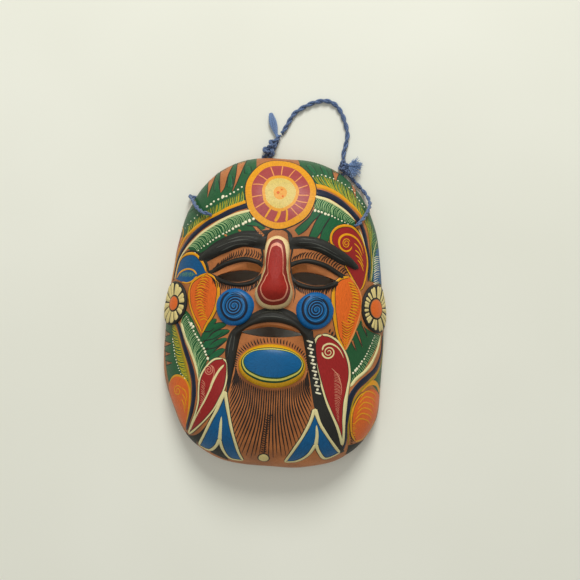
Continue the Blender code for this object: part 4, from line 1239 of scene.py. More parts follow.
def paint_bands():
    """Yellow, navy and cream bands from the sun down both sides, with hair strokes and dots."""
    stroke("band_yellow", YELLOW_L, [2.6, 2.7, 2.6, 2.4, 2.2, 1.9, 1.6, 1.4], SHAPE, (0.01, 0.05))
    stroke("band_navy", NAVY_L, [3.6, 3.6, 3.6, 3.6, 3.6, 3.4, 2.8, 1.9], EDGE, (0.01, 0.1))
    stroke("band_cream", CREAM_L, [1.6, 1.7, 1.8, 1.7, 1.5, 1.1, 0.9], LINE, (0.01, 0.1))
    stroke("band_yellow", YELLOW_R, [3.0, 3.0, 2.8, 2.6, 2.2, 1.4], SHAPE, (0.01, 0.2))
    stroke("band_navy", NAVY_R, [5.0, 4.9, 4.6, 4.3, 3.9, 3.6, 3.2, 2.6, 2.0], EDGE, (0.01, 0.1))
    stroke("band_cream", CREAM_R, [2.0, 2.2, 2.0, 1.6, 1.0], LINE, (0.01, 0.3))
    stroke("band_cream", [(49.5, 55.5), (52.5, 50), (54.5, 44.5)], 0.8, LINE, (0.3, 0.5))
    stroke("band_navy", NAVY_LOW_L, [2.8, 3.0, 3.4, 3.6, 3.6, 3.4, 3.0, 2.4], EDGE, (0.05, 0.1))
    stroke("band_cream", CREAM_LOW_L, [2.2, 2.1, 1.9, 1.6, 1.2], LINE, (0.1, 0.3))
    stroke("band_olive", OLIVE_LOW_L, [1.5, 1.8, 2.2, 2.2, 1.6, 1.0, 0.8], SHAPE, (0.1, 0.1))
    stroke("band_navy", NAVY_LOW_R, [2.0, 2.8, 3.8, 4.2, 4.2, 3.8, 3.2, 2.8, 2.4], EDGE, (0.1, 0.1))
    stroke("band_cream", CREAM_LOW_R, [1.8, 2.0, 2.3, 2.4, 2.3, 2.0], LINE, (0.15, 0.1))
    stroke("band_olive", OLIVE_LOW_R, [0.8, 1.2, 1.4, 1.2, 1.2, 1.1, 1.0], SHAPE, (0.1, 0.1))
    stroke("band_olive", [(54.5, 60), (57, 52.5), (59, 43), (59.8, 33), (59, 22.5)],
        [1.2, 1.6, 1.8, 1.4, 1.0], FIELD, (0.1, 0.1))
    stroke("band_cream", [(63, 50), (60.8, 40), (60.2, 30), (59.8, 23)], 0.6, SHAPE, (0.2, 0.2))

    hairs("hair_yellow", YELLOW_L[:7], [(-20.5, 76.5), (-26, 73), (-32, 70), (-39.5, 66), (-46.5, 61),
        (-52.5, 57), (-58, 52.5)], 34, 0.6, -0.06, start=0.05)
    hairs("hair_green", YELLOW_L[:7], [(-19.5, 75.5), (-25, 72.5), (-31, 69.5), (-38.5, 65.5), (-45.5, 60.5),
        (-51.5, 56.5), (-57.5, 52)], 26, 0.45, -0.06, start=0.06)
    hairs("hair_pale", CREAM_L[:7], [(-13.5, 58), (-20, 54.5), (-27.5, 51), (-34, 47.5), (-40.5, 43.5),
        (-46.5, 39), (-50.5, 35.5)], 40, 0.36, 0.22, start=0.04, finish=0.98)
    below, above = YELLOW_R[1:] + [(57, 54), (59.5, 46)], [(19.5, 87), (24.5, 88), (30, 87), (36, 85),
        (42, 81.5), (46.5, 77.5), (51, 72), (55.5, 65), (60, 56)]
    hairs("hair_yellow", below, above, 40, 0.62, 0.06)
    hairs("hair_green", below, above, 34, 0.45, 0.02, start=0.015)
    hairs("thin_black", below, above, 34, 0.4, 0.04, start=0.01)
    hairs("thin_black", YELLOW_L[:7], [(-20, 76), (-25.5, 73), (-31.5, 69.5), (-39, 65.5), (-46, 60.5),
        (-52, 56.5), (-57.5, 52)], 26, 0.4, -0.06, start=0.07)
    hairs("hair_pale", CREAM_R, [(21.5, 65.5), (26, 64.5), (30.5, 63), (35, 61.5), (39.5, 60), (44, 58)], 27,
        0.36, -0.2, start=0.02)
    hairs("hair_pale", CREAM_LOW_L, [(-54.5, -3), (-49.5, -10.5), (-45, -17.5), (-42, -24), (-40.5, -29.5)],
        30, 0.34, 0.12)
    hairs("hair_yellow", OLIVE_LOW_L[:5], [(-66, -6), (-64.5, -16), (-62.5, -26), (-59.5, -35), (-55, -42)],
        42, 0.6, 0.1)
    hairs("hair_pale", CREAM_LOW_R, [(65, -9.5), (61.5, -17.5), (58.5, -24), (55, -29), (51.5, -34),
        (48.8, -39.5)], 30, 0.32, -0.1)
    hairs("hair_green", [(59, 51), (60.5, 40), (61, 28)], [(62, 55), (64.5, 44), (66, 32)], 14, 0.5, 0.1)
    dots(DOTS_LOW_L, 19, 2.3, 0.9)
    blot("dots_cream", -36.0, 70.8, 2.3, DOT + 0.02)
    dots(DOTS_UP_L, 10, 1.3, 1.8)
    dots(DOTS_LEFT_L, 5, 1.0, 0.6)
    dots(DOTS_R, 11, 2.3, 0.8)
    dots(DOTS_UP_R, 17, 1.2, 1.2)
    dots(DOTS_RIGHT_OF_L, 15, 0.9, 1.9)
    blot("dots_cream", -51.5, -9.5, 2.6, DOT + 0.02)
    blot("dots_cream", -50.0, -11.0, 2.0, DOT + 0.02)
    dots(DOTS_LEFT_OF_L, 15, 1.0, 0.8)
    dots(DOTS_LOW_R, 16, 1.9, 0.7)
    hairs("dots_cream", [(61, 38), (61.5, 20)], [(65.5, 40), (65.5, 22)], 14, 0.45, 0.1, EDGE)


def paint_side_leaves():
    """Orange leaf at each cheek, the blue fan over the left one, the paisley over the right one, the
    rose stripe on the left side and the blue one on the right."""
    left = [(-43, 22.5), (-47.5, 20.5), (-52, 17), (-53.8, 13), (-54, 8), (-52.8, 2), (-50, -4.5), (-46, -11),
        (-44.3, -14.5)]
    right = [(-43, 22.5), (-39.5, 21), (-37, 18), (-35.2, 14.5), (-34.8, 9), (-35.5, 3), (-38, -3.5),
        (-41.5, -9), (-43.8, -14.5)]
    fill("leaf_orange", left, right, SHAPE)
    outlined("leaf_yellow_lines", left, [1.2, 1.4, 1.5, 1.5, 1.5, 1.6, 1.4], EDGE, (0.05, 0.1))
    outlined("leaf_yellow_lines", right, [1.2, 1.8, 2.4, 2.6, 2.4, 2.0, 1.6, 1.4], EDGE, (0.05, 0.1))
    for x, y in along_line([(-43.5, 20.5), (-45.5, 16), (-46.5, 11), (-46.3, 5), (-44.8, -1), (-43, -6)], 16):
        wide = 3.0 + 0.4 * math.sin(y)
        stroke("leaf_yellow_lines", [(x - wide, y - 0.8), (x, y + 0.5), (x + wide * 0.9, y - 0.9)], 0.75,
            LINE, (0.3, 0.6), 0.8, columns=4)

    left = [(45, 25), (40.5, 24), (37.5, 22), (35.8, 18.5), (35.3, 13), (36, 5), (37.5, -4), (40, -13),
        (44.3, -20.5)]
    right = [(45, 25), (48.5, 21.5), (51.5, 17), (53.3, 11), (53.3, 4), (52, -2), (49.8, -9), (47, -15.5),
        (44.7, -20.5)]
    fill("leaf_orange", left, right, SHAPE)
    outlined("leaf_yellow_lines", left, [1.4, 1.8, 2.3, 2.6, 2.6, 2.2, 1.8, 1.5], EDGE, (0.05, 0.1))
    stroke("sun_lines", right, [1.0, 1.0, 1.0, 1.0, 1.2, 1.4, 1.4], EDGE, (0.05, 0.1))
    for x, y in along_line([(46.5, 21), (48.3, 16.5), (49.5, 12), (49.3, 7), (47.8, 2), (46.8, -2)], 14):
        stroke("leaf_yellow_lines", [(x - 2.6, y + 0.3), (x, y), (x + 2.5, y - 1.0)], 0.95, LINE, (0.4, 0.4),
            0.8, columns=4)
    for k in range(9):
        y = -3.5 - 1.7 * k
        x, wide = 45.4 - 0.12 * k, 4.4 - 0.36 * k
        stroke("leaf_yellow_lines", [(x - wide, y + 1.4), (x, y - 0.6), (x + wide, y + 1.4)], 0.55, LINE,
            (0.4, 0.4), 0.8, columns=4)

    hairs("leaf_deep_lines", [(-46, 20), (-49.8, 14), (-50, 6), (-47, -4)], [(-41, 19.5), (-40.5, 14),
        (-41.5, 6), (-42.5, -4)], 17, 0.55, 0.12, EDGE)
    hairs("leaf_deep_lines", [(44.5, 21), (47, 13), (46, 4), (44, -1)], [(48.5, 19.5), (52.5, 12), (52, 3),
        (49.5, -4)], 15, 0.55, -0.1, EDGE)
    hairs("leaf_deep_lines", [(41, -3), (42.5, -16)], [(49.5, -3), (46, -16)], 9, 0.5, -0.3, EDGE)

    fan = [(-64.8, 18.5), (-64, 25), (-61.5, 31), (-57.5, 34), (-52, 34.3), (-47.8, 31), (-45, 27),
        (-43.3, 23)]
    base = [(-62.5, 17.5), (-59.5, 16.6), (-56, 16.2), (-52.5, 17), (-50, 19), (-47.5, 20.8), (-45, 22),
        (-43.8, 22.4)]
    fill("fan_blue", fan, base, SHAPE, 1.2)
    outlined("leaf_yellow_lines", fan, [1.0, 1.0, 1.4, 1.9, 2.0, 1.8, 1.6, 1.3], EDGE, (0.05, 0.1))
    stroke("leaf_yellow_lines", [(-64, 18.5), (-62, 22), (-59, 24), (-55.5, 24.8), (-52, 24), (-49.5, 21.5)],
        1.2, LINE, (0.1, 0.1))
    stroke("leaf_yellow_lines", [(-60, 16.4), (-56, 16), (-52.5, 17.4), (-49.5, 20.5)], 1.0, LINE, (0.1, 0.1))
    hairs("hair_green", [(-61.5, 22), (-57.5, 23), (-53, 23), (-50.5, 21.8)], [(-61.5, 20), (-57, 19.6),
        (-53, 20), (-51, 20.8)], 15, 0.35, 0.05, EDGE)
    stroke("face_black", [(-61, 32), (-57, 35.6), (-51.5, 35.8), (-46.5, 32.2), (-43.5, 27.5), (-42, 23.5)],
        [0.8, 1.2, 1.2, 1.8, 2.2, 1.6], EDGE, (0.3, 0.1))

    fill("leaf_rose", [(-66.5, 50.5), (-68.5, 41), (-70, 31), (-70.7, 22), (-71, 12)], [(-63.5, 49.5),
        (-64.2, 43), (-66.5, 35), (-68.3, 26), (-69.3, 15)], FIELD)
    stroke("leaf_yellow_lines", [(-64.5, 54), (-62, 49), (-62.3, 44.5), (-64, 40)], 0.9, EDGE, (0.2, 0.3))
    fill("fan_blue", [(66.5, 47), (69, 38), (70.3, 30), (70.8, 22.5)], [(63, 44), (62, 36), (61.2, 29),
        (61, 23)], FIELD)

    upper = [(35.5, 42), (32.8, 44.5), (32, 48), (33, 51.8), (36, 55), (40.5, 56.6), (45, 56.2), (49.2, 53.2),
        (52.6, 48.5), (54.8, 43), (56.2, 37), (56.4, 31), (55.6, 25), (54, 19.5), (51.8, 16.5)]
    lower = [(36.5, 41), (38.5, 38.5), (40, 36), (41, 33.5), (42, 31.5), (43.5, 29), (45, 27), (47, 24),
        (49, 21), (51, 17.5)]
    fill("leaf_red", upper, lower, SHAPE, 1.3)
    outlined("leaf_yellow_lines", upper, [1.3, 1.6, 1.8, 1.8, 1.7, 1.5, 1.3, 1.6, 1.9, 1.6, 1.2], EDGE,
        (0.05, 0.1))
    outlined("leaf_yellow_lines", lower[3:], [0.6, 1.0, 1.1, 1.0, 0.8], EDGE, (0.3, 0.2))
    stroke("paisley_lines", [(53.5, 40), (52, 44.5), (49, 48.5), (45, 50.8), (41, 51), (38, 48.8),
        (37.2, 45.5), (38.5, 42.2), (41.5, 40.6), (44.2, 41.5), (45.6, 44)], [0.8, 1.2, 1.4, 1.5, 1.5, 1.4,
        1.2, 1.0], LINE, (0.4, 0.1))
    curl("paisley_lines", (41.8, 45.4), 2.9, 0.19, (4.2, 22), 0.4, 1, (0.9, 1.1), 0.6, (0.1, 0.1), 0.5, 4)
    for line in ([(46.8, 46), (50, 43.5), (52.8, 38.5)], [(47.5, 42), (50.5, 39.8), (53.5, 35)],
            [(48, 38.8), (51.3, 36.5), (54, 31.5)], [(49.5, 36), (52, 33.5), (54, 29)]):
        stroke("paisley_lines", line, 0.8, LINE, (0.1, 0.6), 0.8)


def paint_low_leaves():
    """Red leaf and red drop beside the beard, the two orange leaves at the jaw."""
    left = [(-30, -28.8), (-35.5, -30), (-40.8, -35.5), (-43.8, -42.5), (-44.3, -50), (-44.3, -57),
        (-46, -65), (-48.8, -72.5), (-51.2, -79.8)]
    right = [(-30, -28.8), (-27.2, -31.5), (-26.8, -38), (-27.8, -46), (-30.8, -54), (-34.8, -61.5),
        (-40, -68.5), (-45.8, -75), (-50.8, -80.2)]
    fill("leaf_red", left, right, SHAPE)
    outlined("leaf_cream_lines", left, [1.2, 1.2, 1.2, 1.2, 1.2, 1.2, 1.4, 1.6], EDGE, (0.05, 0.05))
    outlined("leaf_cream_lines", right, [1.2, 1.0, 1.0, 1.2, 1.1, 1.0, 1.2, 1.5], EDGE, (0.05, 0.05))
    stroke("leaf_cream_lines", [(-28.8, -32.5), (-32, -36.5), (-35, -42.5), (-37, -48.5), (-40, -55.5),
        (-43.5, -62.5), (-47, -70), (-49.8, -77)], [1.6, 1.7, 1.5, 1.2, 1.0, 0.9, 0.8], LINE, (0.1, 0.1))
    curl("leaf_pink_lines", (-38.6, -36.6), 3.0, 0.19, (4.6, 26), 1.2, -1, (1, 1.1), 0.5, (0.1, 0.1), 0.5, 4)
    stroke("leaf_pink_lines", [(-38, -33.4), (-35.4, -35), (-35, -39.5), (-37, -46)], 0.45, LINE, (0.1, 0.4),
        0.8, columns=4)
    hairs("leaf_pink_lines", [(-42.5, -43), (-42.8, -52), (-43.2, -60), (-46.5, -69)], [(-40, -46),
        (-40, -54), (-42, -61), (-46, -70)], 20, 0.3, 0.1, LINE)

    left = [(29.5, -11.2), (26.5, -13.2), (25.2, -18), (26.2, -26), (28.3, -34), (31.2, -43), (34.5, -52),
        (38, -59.5), (42, -67.5), (45, -76), (46.2, -80.5)]
    right = [(29.5, -11.2), (34, -11.8), (39.5, -15), (44, -20.8), (47.2, -28.5), (48.4, -37), (47.4, -45),
        (46.4, -52.5), (46.4, -61), (46.9, -70), (46.8, -80.5)]
    fill("leaf_red", left, right, SHAPE)
    outlined("leaf_cream_lines", left, [1.5, 1.5, 1.3, 1.2, 1.2, 1.3, 1.5, 1.7, 2.0, 2.0], EDGE, (0.03, 0.05))
    outlined("leaf_cream_lines", right, [1.5, 1.4, 1.4, 1.5, 1.8, 2.0, 2.6, 3.2, 3.2, 2.8, 1.8], EDGE,
        (0.03, 0.05))
    curl("leaf_cream_lines", (34.2, -21.8), 4.1, 0.27, (4.4, 26), 0, 0.96, (-1, -1),
        [1.2, 1.0, 0.8, 0.6, 0.5], (0.05, 0.1), 0.6)
    stroke("leaf_cream_lines", [(30.1, -21), (31, -18), (34.5, -16.6), (38.5, -18), (41.5, -21),
        (43.8, -25.5)], [1.2, 1.2, 1.1, 0.9, 0.5], LINE, (0.02, 0.5))
    hairs("leaf_pink_lines", [(38, -34), (38.6, -44), (39.5, -54), (41.8, -63)], [(42.5, -37), (43.5, -46),
        (43, -57), (43, -65)], 32, 0.28, 0.14, LINE)
    stroke("leaf_pink_lines", [(36.5, -31.5), (40.5, -35.5), (43.2, -42), (43.5, -48)], 0.5, LINE, (0.2, 0.5),
        0.8, columns=4)

    left = [(-59.5, -42.5), (-63.5, -45), (-65.8, -50), (-64, -58), (-60, -66.5), (-54.5, -76)]
    right = [(-59.5, -42.5), (-54, -44), (-50.8, -49), (-50, -56), (-50.5, -64), (-53.2, -76)]
    fill("leaf_orange", left, right, SHAPE)
    stroke("leaf_yellow_lines", [(-65.8, -50), (-63.5, -45), (-59.5, -42.5), (-54, -44), (-50.8, -49),
        (-50, -56), (-50.5, -64), (-52.8, -74)], [0.8, 1.3, 1.5, 1.4, 1.8, 1.6, 1.2, 1.0], EDGE, (0.2, 0.2))
    curl("leaf_yellow_lines", (-58.8, -52.3), 3.2, 0.26, (3.6, 22), 0.6, 1, (0.9, 1.1), 0.7, (0.1, 0.2), 0.6)
    for line in ([(-56.2, -49.8), (-53, -52), (-51.6, -58)], [(-55.5, -53.5), (-53, -57), (-52.2, -63)],
            [(-55.5, -57), (-53.8, -60.5), (-53, -66)]):
        stroke("leaf_yellow_lines", line, 0.8, LINE, (0.1, 0.7), 0.8)

    left = [(59, -46.5), (55, -49.5), (51.8, -55.5), (50.8, -63), (51.8, -72.5), (55, -78.5)]
    right = [(59, -46.5), (64.5, -45.5), (70, -50), (69.5, -58), (66.5, -69.5), (60.5, -77.5)]
    fill("leaf_orange", left, right, SHAPE)
    outlined("leaf_yellow_lines", left, [1.0, 1.4, 1.6, 1.5, 1.3, 1.4], EDGE, (0.1, 0.1))
    stroke("leaf_yellow_lines", [(55, -78.5), (60, -77.8), (64.5, -73), (67.5, -66)], 1.5, EDGE, (0.1, 0.4))
    for k in range(6):
        x, y = 56.0 - 0.7 * k, -47.0 - 3.4 * k
        stroke("leaf_yellow_lines", [(x, y - 3.0), (x + 4.0, y + 0.6), (x + 9.0, y - 0.8),
            (x + 11.5, y - 4.0)], 0.8, LINE, (0.3, 0.6), 0.8)
    hairs("leaf_yellow_lines", [(51.5, -66), (52.5, -76)], [(54.5, -67), (55, -76)], 8, 0.5, 0.1, LINE)
    hairs("face_black", [(50.5, -72), (52, -80)], [(52, -72.5), (53.5, -80)], 7, 0.6, 0.1, LINE)
    fill("face_black", [(50.5, -81), (56, -80), (62, -79)], [(49.5, -88), (54, -88), (60, -86)], FIELD)
    fill("leaf_yellow_lines", [(56, -45.5), (60.5, -40.8), (66, -40), (71, -47)], [(57, -46.5), (61.5, -43),
        (66.5, -43.5), (70, -49)], FIELD)


def paint_arrows():
    """Two blue arrowheads that straddle the chin, outlined in cream, with black between them and
    the leaves."""
    fill("face_black", [(-30.5, -58), (-36.5, -68), (-44, -78), (-50.5, -81), (-53.5, -79)],
        [(-34, -64.5), (-40, -76), (-44, -86.5), (-48, -89), (-53, -84)], FIELD)
    fill("face_black", [(-30, -80.5), (-32.5, -86), (-36.5, -90.5)], [(-29.5, -80.5), (-27, -89.5),
        (-24.5, -95)], FIELD)
    for sign, apex, tip, foot_out, foot_in in ((-1, (-27.6, -48.5), (-29.2, -64.5), (-44, -86.5),
            (-15.2, -94)), (1, (27.6, -56.5), (29.1, -66.5), (45.5, -86), (11, -93))):
        if sign < 0:
            outer = [apex, (-31.8, -59.5), (-35.8, -68), (-39.8, -77), foot_out]
            inner = [apex, (-25.4, -60), (-23.2, -70), (-20.4, -80), (-18, -88), foot_in]
            spine = [tip, (-29.6, -73.5), (-30, -80.5)]
            curl_out = [(-30, -79.5), (-32.5, -85), (-37, -88.8), foot_out]
            curl_in = [(-30, -79.5), (-28, -87), (-23.5, -93), foot_in]
        else:
            outer = [apex, (31.2, -65.5), (36, -73), (41, -80), foot_out]
            inner = [apex, (25.2, -65), (21.8, -73), (17, -82), foot_in]
            spine = [tip, (29.9, -73.5), (29.6, -80)]
            curl_out = [(29.6, -79), (31.8, -84.5), (36.5, -89.6), foot_out]
            curl_in = [(29.6, -79), (25.5, -86.5), (19, -91.8), foot_in]
        for edge, curl in ((outer, curl_out), (inner, curl_in)):
            fill("arrow_blue", edge, [apex, tip] + [spine[1]] + curl, SHAPE)
            outlined("leaf_cream_lines", edge, [2.6, 2.2, 1.9, 1.9, 1.9], EDGE, (0.02, 0.05))
            outlined("leaf_cream_lines", curl, [2.4, 2.2, 2.0, 1.6], LINE, (0.05, 0.08))
        stroke("leaf_cream_lines", spine, [1.0, 2.2, 3.0], LINE, (0.3, 0.05))
    blot("face_black", -2.3, -90.8, 11.0, FIELD, aspect=0.78, crown=0.0, sides=24)
    blot("petals_cream", -2.3, -90.8, 9.2, EDGE, aspect=0.77, crown=0.5, sides=24)


def paint_face():
    """Black moustache and brows with grey streaks of painted highlight, lids and lashes, the beard's combed
    strokes and lip rays.
    """
    fill("face_black", [(-22.5, -8.5), (-26.2, -12.5), (-28.2, -18.5), (-29, -24), (-28.3, -29), (-26.5, -34),
        (-26.3, -41), (-26.8, -50)], [(-18.5, -10.8), (-20, -16), (-21, -21.5), (-22.2, -28), (-23.2, -36),
        (-24.3, -44), (-26, -50.5)], FIELD, 1.2, ("moustache",))
    fill("face_black", [(24, -9), (24.6, -14), (25.2, -21.5), (27, -31.5), (30.5, -43), (34, -53.5),
        (39, -63.5), (44, -75), (48.5, -85.5)], [(15.8, -10.2), (17.8, -13), (19.3, -19), (21.2, -26.5),
        (22.8, -35), (25, -46), (27.8, -57.5), (33.5, -68.5), (45, -87)], FIELD, 1.2, ("moustache",))
    fill("face_black", [(-23.5, -8), (-18, -4.8), (-12.5, 0), (-6, 3.2), (0, 4), (6, 3.6), (12, 1.2),
        (17.5, -4), (24, -8.5)], [(-18.5, -10.6), (-15.5, -8.6), (-10.5, -6.4), (-5, -5.3), (0, -5),
        (5.5, -5.6), (11.5, -7.2), (15, -9.2), (18, -12)], FIELD, 1.0, ("moustache",))
    for side, top, low in ((-1, [(-6, 51), (-13.5, 50), (-21.5, 49.5), (-31, 46.2), (-39.5, 41.5),
            (-46.5, 36), (-52.5, 33.5)], [(-8, 38.5), (-16, 39.5), (-23.5, 39.5), (-31.5, 36), (-39, 32),
            (-43.5, 29.5), (-45.5, 28)]), (1, [(5, 50.5), (8.5, 47.2), (15, 47), (22.5, 46.6), (30, 44.8),
            (37, 41.2), (43, 37.2), (50.5, 31)], [(7.5, 39.5), (11.5, 40.2), (17.5, 40.3), (25, 38.8),
            (32.5, 35.5), (39, 32.4), (44, 31.4), (50, 30.2)])):
        fill("face_black", top, low, EDGE if side > 0 else FIELD, 1.2, ("brow_left", "brow_right"))
    stroke("face_black", [(-9.5, 44), (-7, 48.8), (-3.5, 51.8), (0.5, 52.4), (4.5, 51), (8.5, 47.5)],
        [2.2, 1.8, 1.6, 1.6, 1.6, 2.0], EDGE, (0.2, 0.2))
    stroke("face_black", [(-9.6, 46), (-9.8, 40), (-8.8, 34), (-9.2, 27)], [2.2, 1.6, 1.0, 0.8], FIELD,
        (0.1, 0.3))
    stroke("face_black", [(9, 46), (8.8, 39), (8.2, 33), (9.2, 24), (11.8, 14), (11, 7)],
        [1.6, 1.2, 0.8, 0.9, 0.8, 0.8], FIELD, (0.1, 0.3))
    for top, low in (([(-43, 24), (-39.5, 25.2), (-32, 30), (-21, 33.8), (-13, 32.6), (-8.2, 29.5)],
            [(-42, 22.8), (-37.8, 23.2), (-30.5, 27.4), (-20.6, 30.5), (-12.8, 29.7), (-8.8, 27.4)]),
            ([(8, 31.8), (13, 33.6), (19.5, 34.6), (30, 32.4), (39, 27.6), (44.5, 24.6)], [(8.2, 28.4),
            (12.3, 30.5), (18.8, 31.6), (28.5, 29.4), (38, 24.7), (43.5, 23.5)])):
        fill("face_black", top, low, FIELD, 1.0, ("upper_lid_left", "upper_lid_right"))
    for top, low in (([(-42.5, 23.8), (-37.5, 21.6), (-31, 19.2), (-23.5, 17.8), (-14.5, 20.2), (-9, 24.5)],
            [(-41.4, 21.6), (-37.1, 18.4), (-30.6, 16.1), (-22.7, 15.2), (-14.5, 16.8), (-9.5, 20.8)]),
            ([(9, 24.6), (13.5, 20.4), (23, 18.2), (31.5, 19.4), (37.8, 22.8), (43.5, 24)],
            [(9.9, 21.2), (13.9, 17.3), (22.6, 15.6), (31.5, 16.7), (37.6, 19.6), (41.9, 22.3)])):
        fill("face_black", top, low, FIELD, 1.0, ("lower_lid_left", "lower_lid_right"))
    # grey streaks along the brows, painted highlight on the black enamel
    for line in ([(-12, 42.6), (-20, 43.6), (-28, 42), (-37, 38)], [(-14, 45.2), (-22, 45.6), (-30.5, 43)],
            [(-17, 41.4), (-25, 40.6), (-34, 36.4)], [(12, 43.6), (20, 43.8), (28, 41.4), (36, 37.6)],
            [(14, 46), (23, 45.8)], [(16, 41.8), (25, 41), (33, 37.6), (41, 33.8)]):
        stroke("painted_sheen_streaks", line, 0.7, EDGE + 0.08, (0.4, 0.6), 1.0, ("brow_left", "brow_right"),
            waver=0.4)
    # grey streaks along the moustache, painted highlight as well
    for line in ([(-24, -13), (-25.5, -20), (-26, -28)], [(-22.6, -14), (-23.4, -24)],
            [(-8, 0.5), (0, 1.6), (8, 0.4)], [(-10, -2.6), (0, -1.6), (10, -3.2)]):
        stroke("painted_sheen_streaks", line, 0.7, EDGE, (0.4, 0.6), 1.0, ("moustache",), waver=0.4)
    lids = ("upper_lid_left", "upper_lid_right", "brow_left", "brow_right")
    hairs("lashes", [(-39.5, 25.4), (-31.5, 30.6), (-21, 34), (-13, 33), (-9.5, 31.4)], [(-36.6, 29.2),
        (-28, 35.8), (-18, 39), (-11.5, 37.4), (-9.8, 35)], 21, 0.75, -0.14, LINE, lids, (0.1, 0.5),
        jitter=0.18)
    hairs("lashes", [(9, 32.4), (13, 34), (19.5, 34.8), (30, 32.6), (41.5, 26.2)], [(11, 36), (16.4, 38.6),
        (25, 38.6), (35, 35.2), (44.5, 28.4)], 22, 0.75, 0.12, LINE, lids, (0.1, 0.5), jitter=0.18)
    lids = ("lower_lid_left", "lower_lid_right")
    hairs("lashes", [(-40, 20.8), (-36, 18.2), (-29.5, 16.2), (-22.5, 15.6), (-14.5, 17.2), (-10.5, 20.4)],
        [(-38.5, 16.2), (-35, 13.8), (-30, 12.6), (-22.5, 12.2), (-15.5, 13), (-12.5, 15.8)], 24, 0.8, 0.1,
        LINE, lids, (0.1, 0.7))
    hairs("lashes", [(10.5, 20.8), (14.5, 17.6), (22.5, 16), (31, 17), (38, 20.2)], [(12.5, 16), (16.5, 13.2),
        (22.5, 12.4), (30.5, 13.2), (36, 15.5)], 22, 0.8, -0.1, LINE, lids, (0.1, 0.7))
    hairs("lashes", [(34.6, -7.4), (42, -13.6)], [(33.8, -10), (39.8, -16.4)], 5, 1.3, 0.0, EDGE,
        ends=(0.2, 0.2), jitter=0.1)

    turn = np.radians(np.linspace(-6, 186, 38))
    for angle in turn:
        c, s = math.cos(angle), math.sin(angle)
        first = (0.2 + 21.0 * c, -31.6 + 13.8 * s)
        last = (0.2 + (24.0 - 0.8 * s) * c - 0.6, -31.6 + 16.9 * s + 0.6)
        stroke("lashes", [first, ((first[0] + last[0]) / 2 - 0.25, (first[1] + last[1]) / 2), last],
            rng.uniform(0.7, 1), FIELD, (0.05, 0.7), 0.8, (), 4)
    tops = along_line([(-21.6, -33), (-19.5, -38), (-14, -42.6), (-6, -45.4), (0, -45.8), (6.5, -45.3),
        (14, -42.8), (20, -38), (22, -33.5)], 40)
    lows = along_line([(-23.8, -44), (-24.6, -54), (-24.2, -63.5), (-22.4, -72), (-19.6, -80.5), (-16.4, -88),
        (-10.5, -91.5), (-5, -88), (2, -91.5), (6.5, -88), (10.2, -89.5), (14, -85), (18.5, -79),
        (22.5, -71.5), (24.8, -63.5), (25.6, -54), (23.6, -43)], 40)
    for p, q in zip(tops, lows):
        bend = (p[0] * 0.84 + q[0] * 0.16, p[1] * 0.56 + q[1] * 0.44)
        stroke("beard", [p, bend, q], [0.8, 1.0, 0.95, 0.8], FIELD, (0.02, 0.4), 1.2, waver=0.12)
    for k, (x, y) in enumerate(along_line([(0.3, -62), (-1.2, -69), (-2.3, -77), (-2.4, -86)], 17)):
        wide = 1.9 - 0.25 * (k % 2)
        stroke("beard", [(x - wide, y + 0.5), (x, y - 0.3), (x + wide, y + 0.7)], 0.8, SHAPE, (0.2, 0.4), 0.6,
            columns=4)
    for k, (x, y) in enumerate(along_line([(21.8, -15.5), (22.8, -22), (24.4, -28.5), (26.2, -36),
            (29.2, -47)], 15)):
        if k % 2:
            blot("dots_cream", x, y, 1.9, LINE, ("moustache",), sides=9)
        else:
            stroke("dots_cream", [(x - 1.9, y + 0.6), (x, y), (x + 1.9, y - 0.4)], 1.2, LINE, (0.2, 0.2), 0.5,
                ("moustache",), columns=4)


def paint_cheeks():
    """Navy and light blue spirals on the blue discs, wound a little differently on each side."""
    for name, shift in (("cheek_left", 0.4), ("cheek_right", -0.15)):
        cx, cy = CHEEKS[name]
        for coat_name, start, finish, wide, phase in (("cheek_navy", 8.3, 6.9, 1.5, 2.0),
                ("cheek_navy", 5.6, 0.8, 0.9, 0.6), ("cheek_sky", 7.2, 5.6, 0.5, 1.0),
                ("cheek_sky", 5.0, 0.4, 0.45, 0.2)):
            count = 1.0 if start - finish < 2 else 3.0
            turn = np.linspace(0, count * 2 * math.pi, int(14 * count))
            reach = np.linspace(start, finish, len(turn)) * (1 + 0.05 * np.sin(2 * turn + phase))
            line = np.column_stack([cx + shift + reach * np.cos(turn + phase), cy + 0.6 + reach
                * np.sin(turn + phase)])
            stroke(coat_name, line, wide, DOT if coat_name == "cheek_sky" else EDGE, (0.05, 0.05), 0.6,
                (name,), columns=4)


def ear_points(side, middle_y, u, v):
    """Places on a round disc rolled over the steep side, u mm round the wall from its middle and v
    mm up: the roll angle is 66.5 degrees plus u over the length of the wall's arm."""
    middle = math.radians(66.5)
    arm = math.hypot(HALF_WIDTH * math.cos(middle), VAULT_HEIGHT * math.sin(middle))
    roll = np.minimum(middle + u / arm, math.radians(87.0))
    y = middle_y + v
    along = np.where(y > WIDEST_Y, (y - WIDEST_Y) / CROWN_REACH, (WIDEST_Y - y) / CHIN_REACH)
    across = np.sin(roll)
    power = CROWN_SQUARENESS
    x = side * side_width(y) * (across**power - across**power * along**power) ** (1 / power)
    return over(x, y)


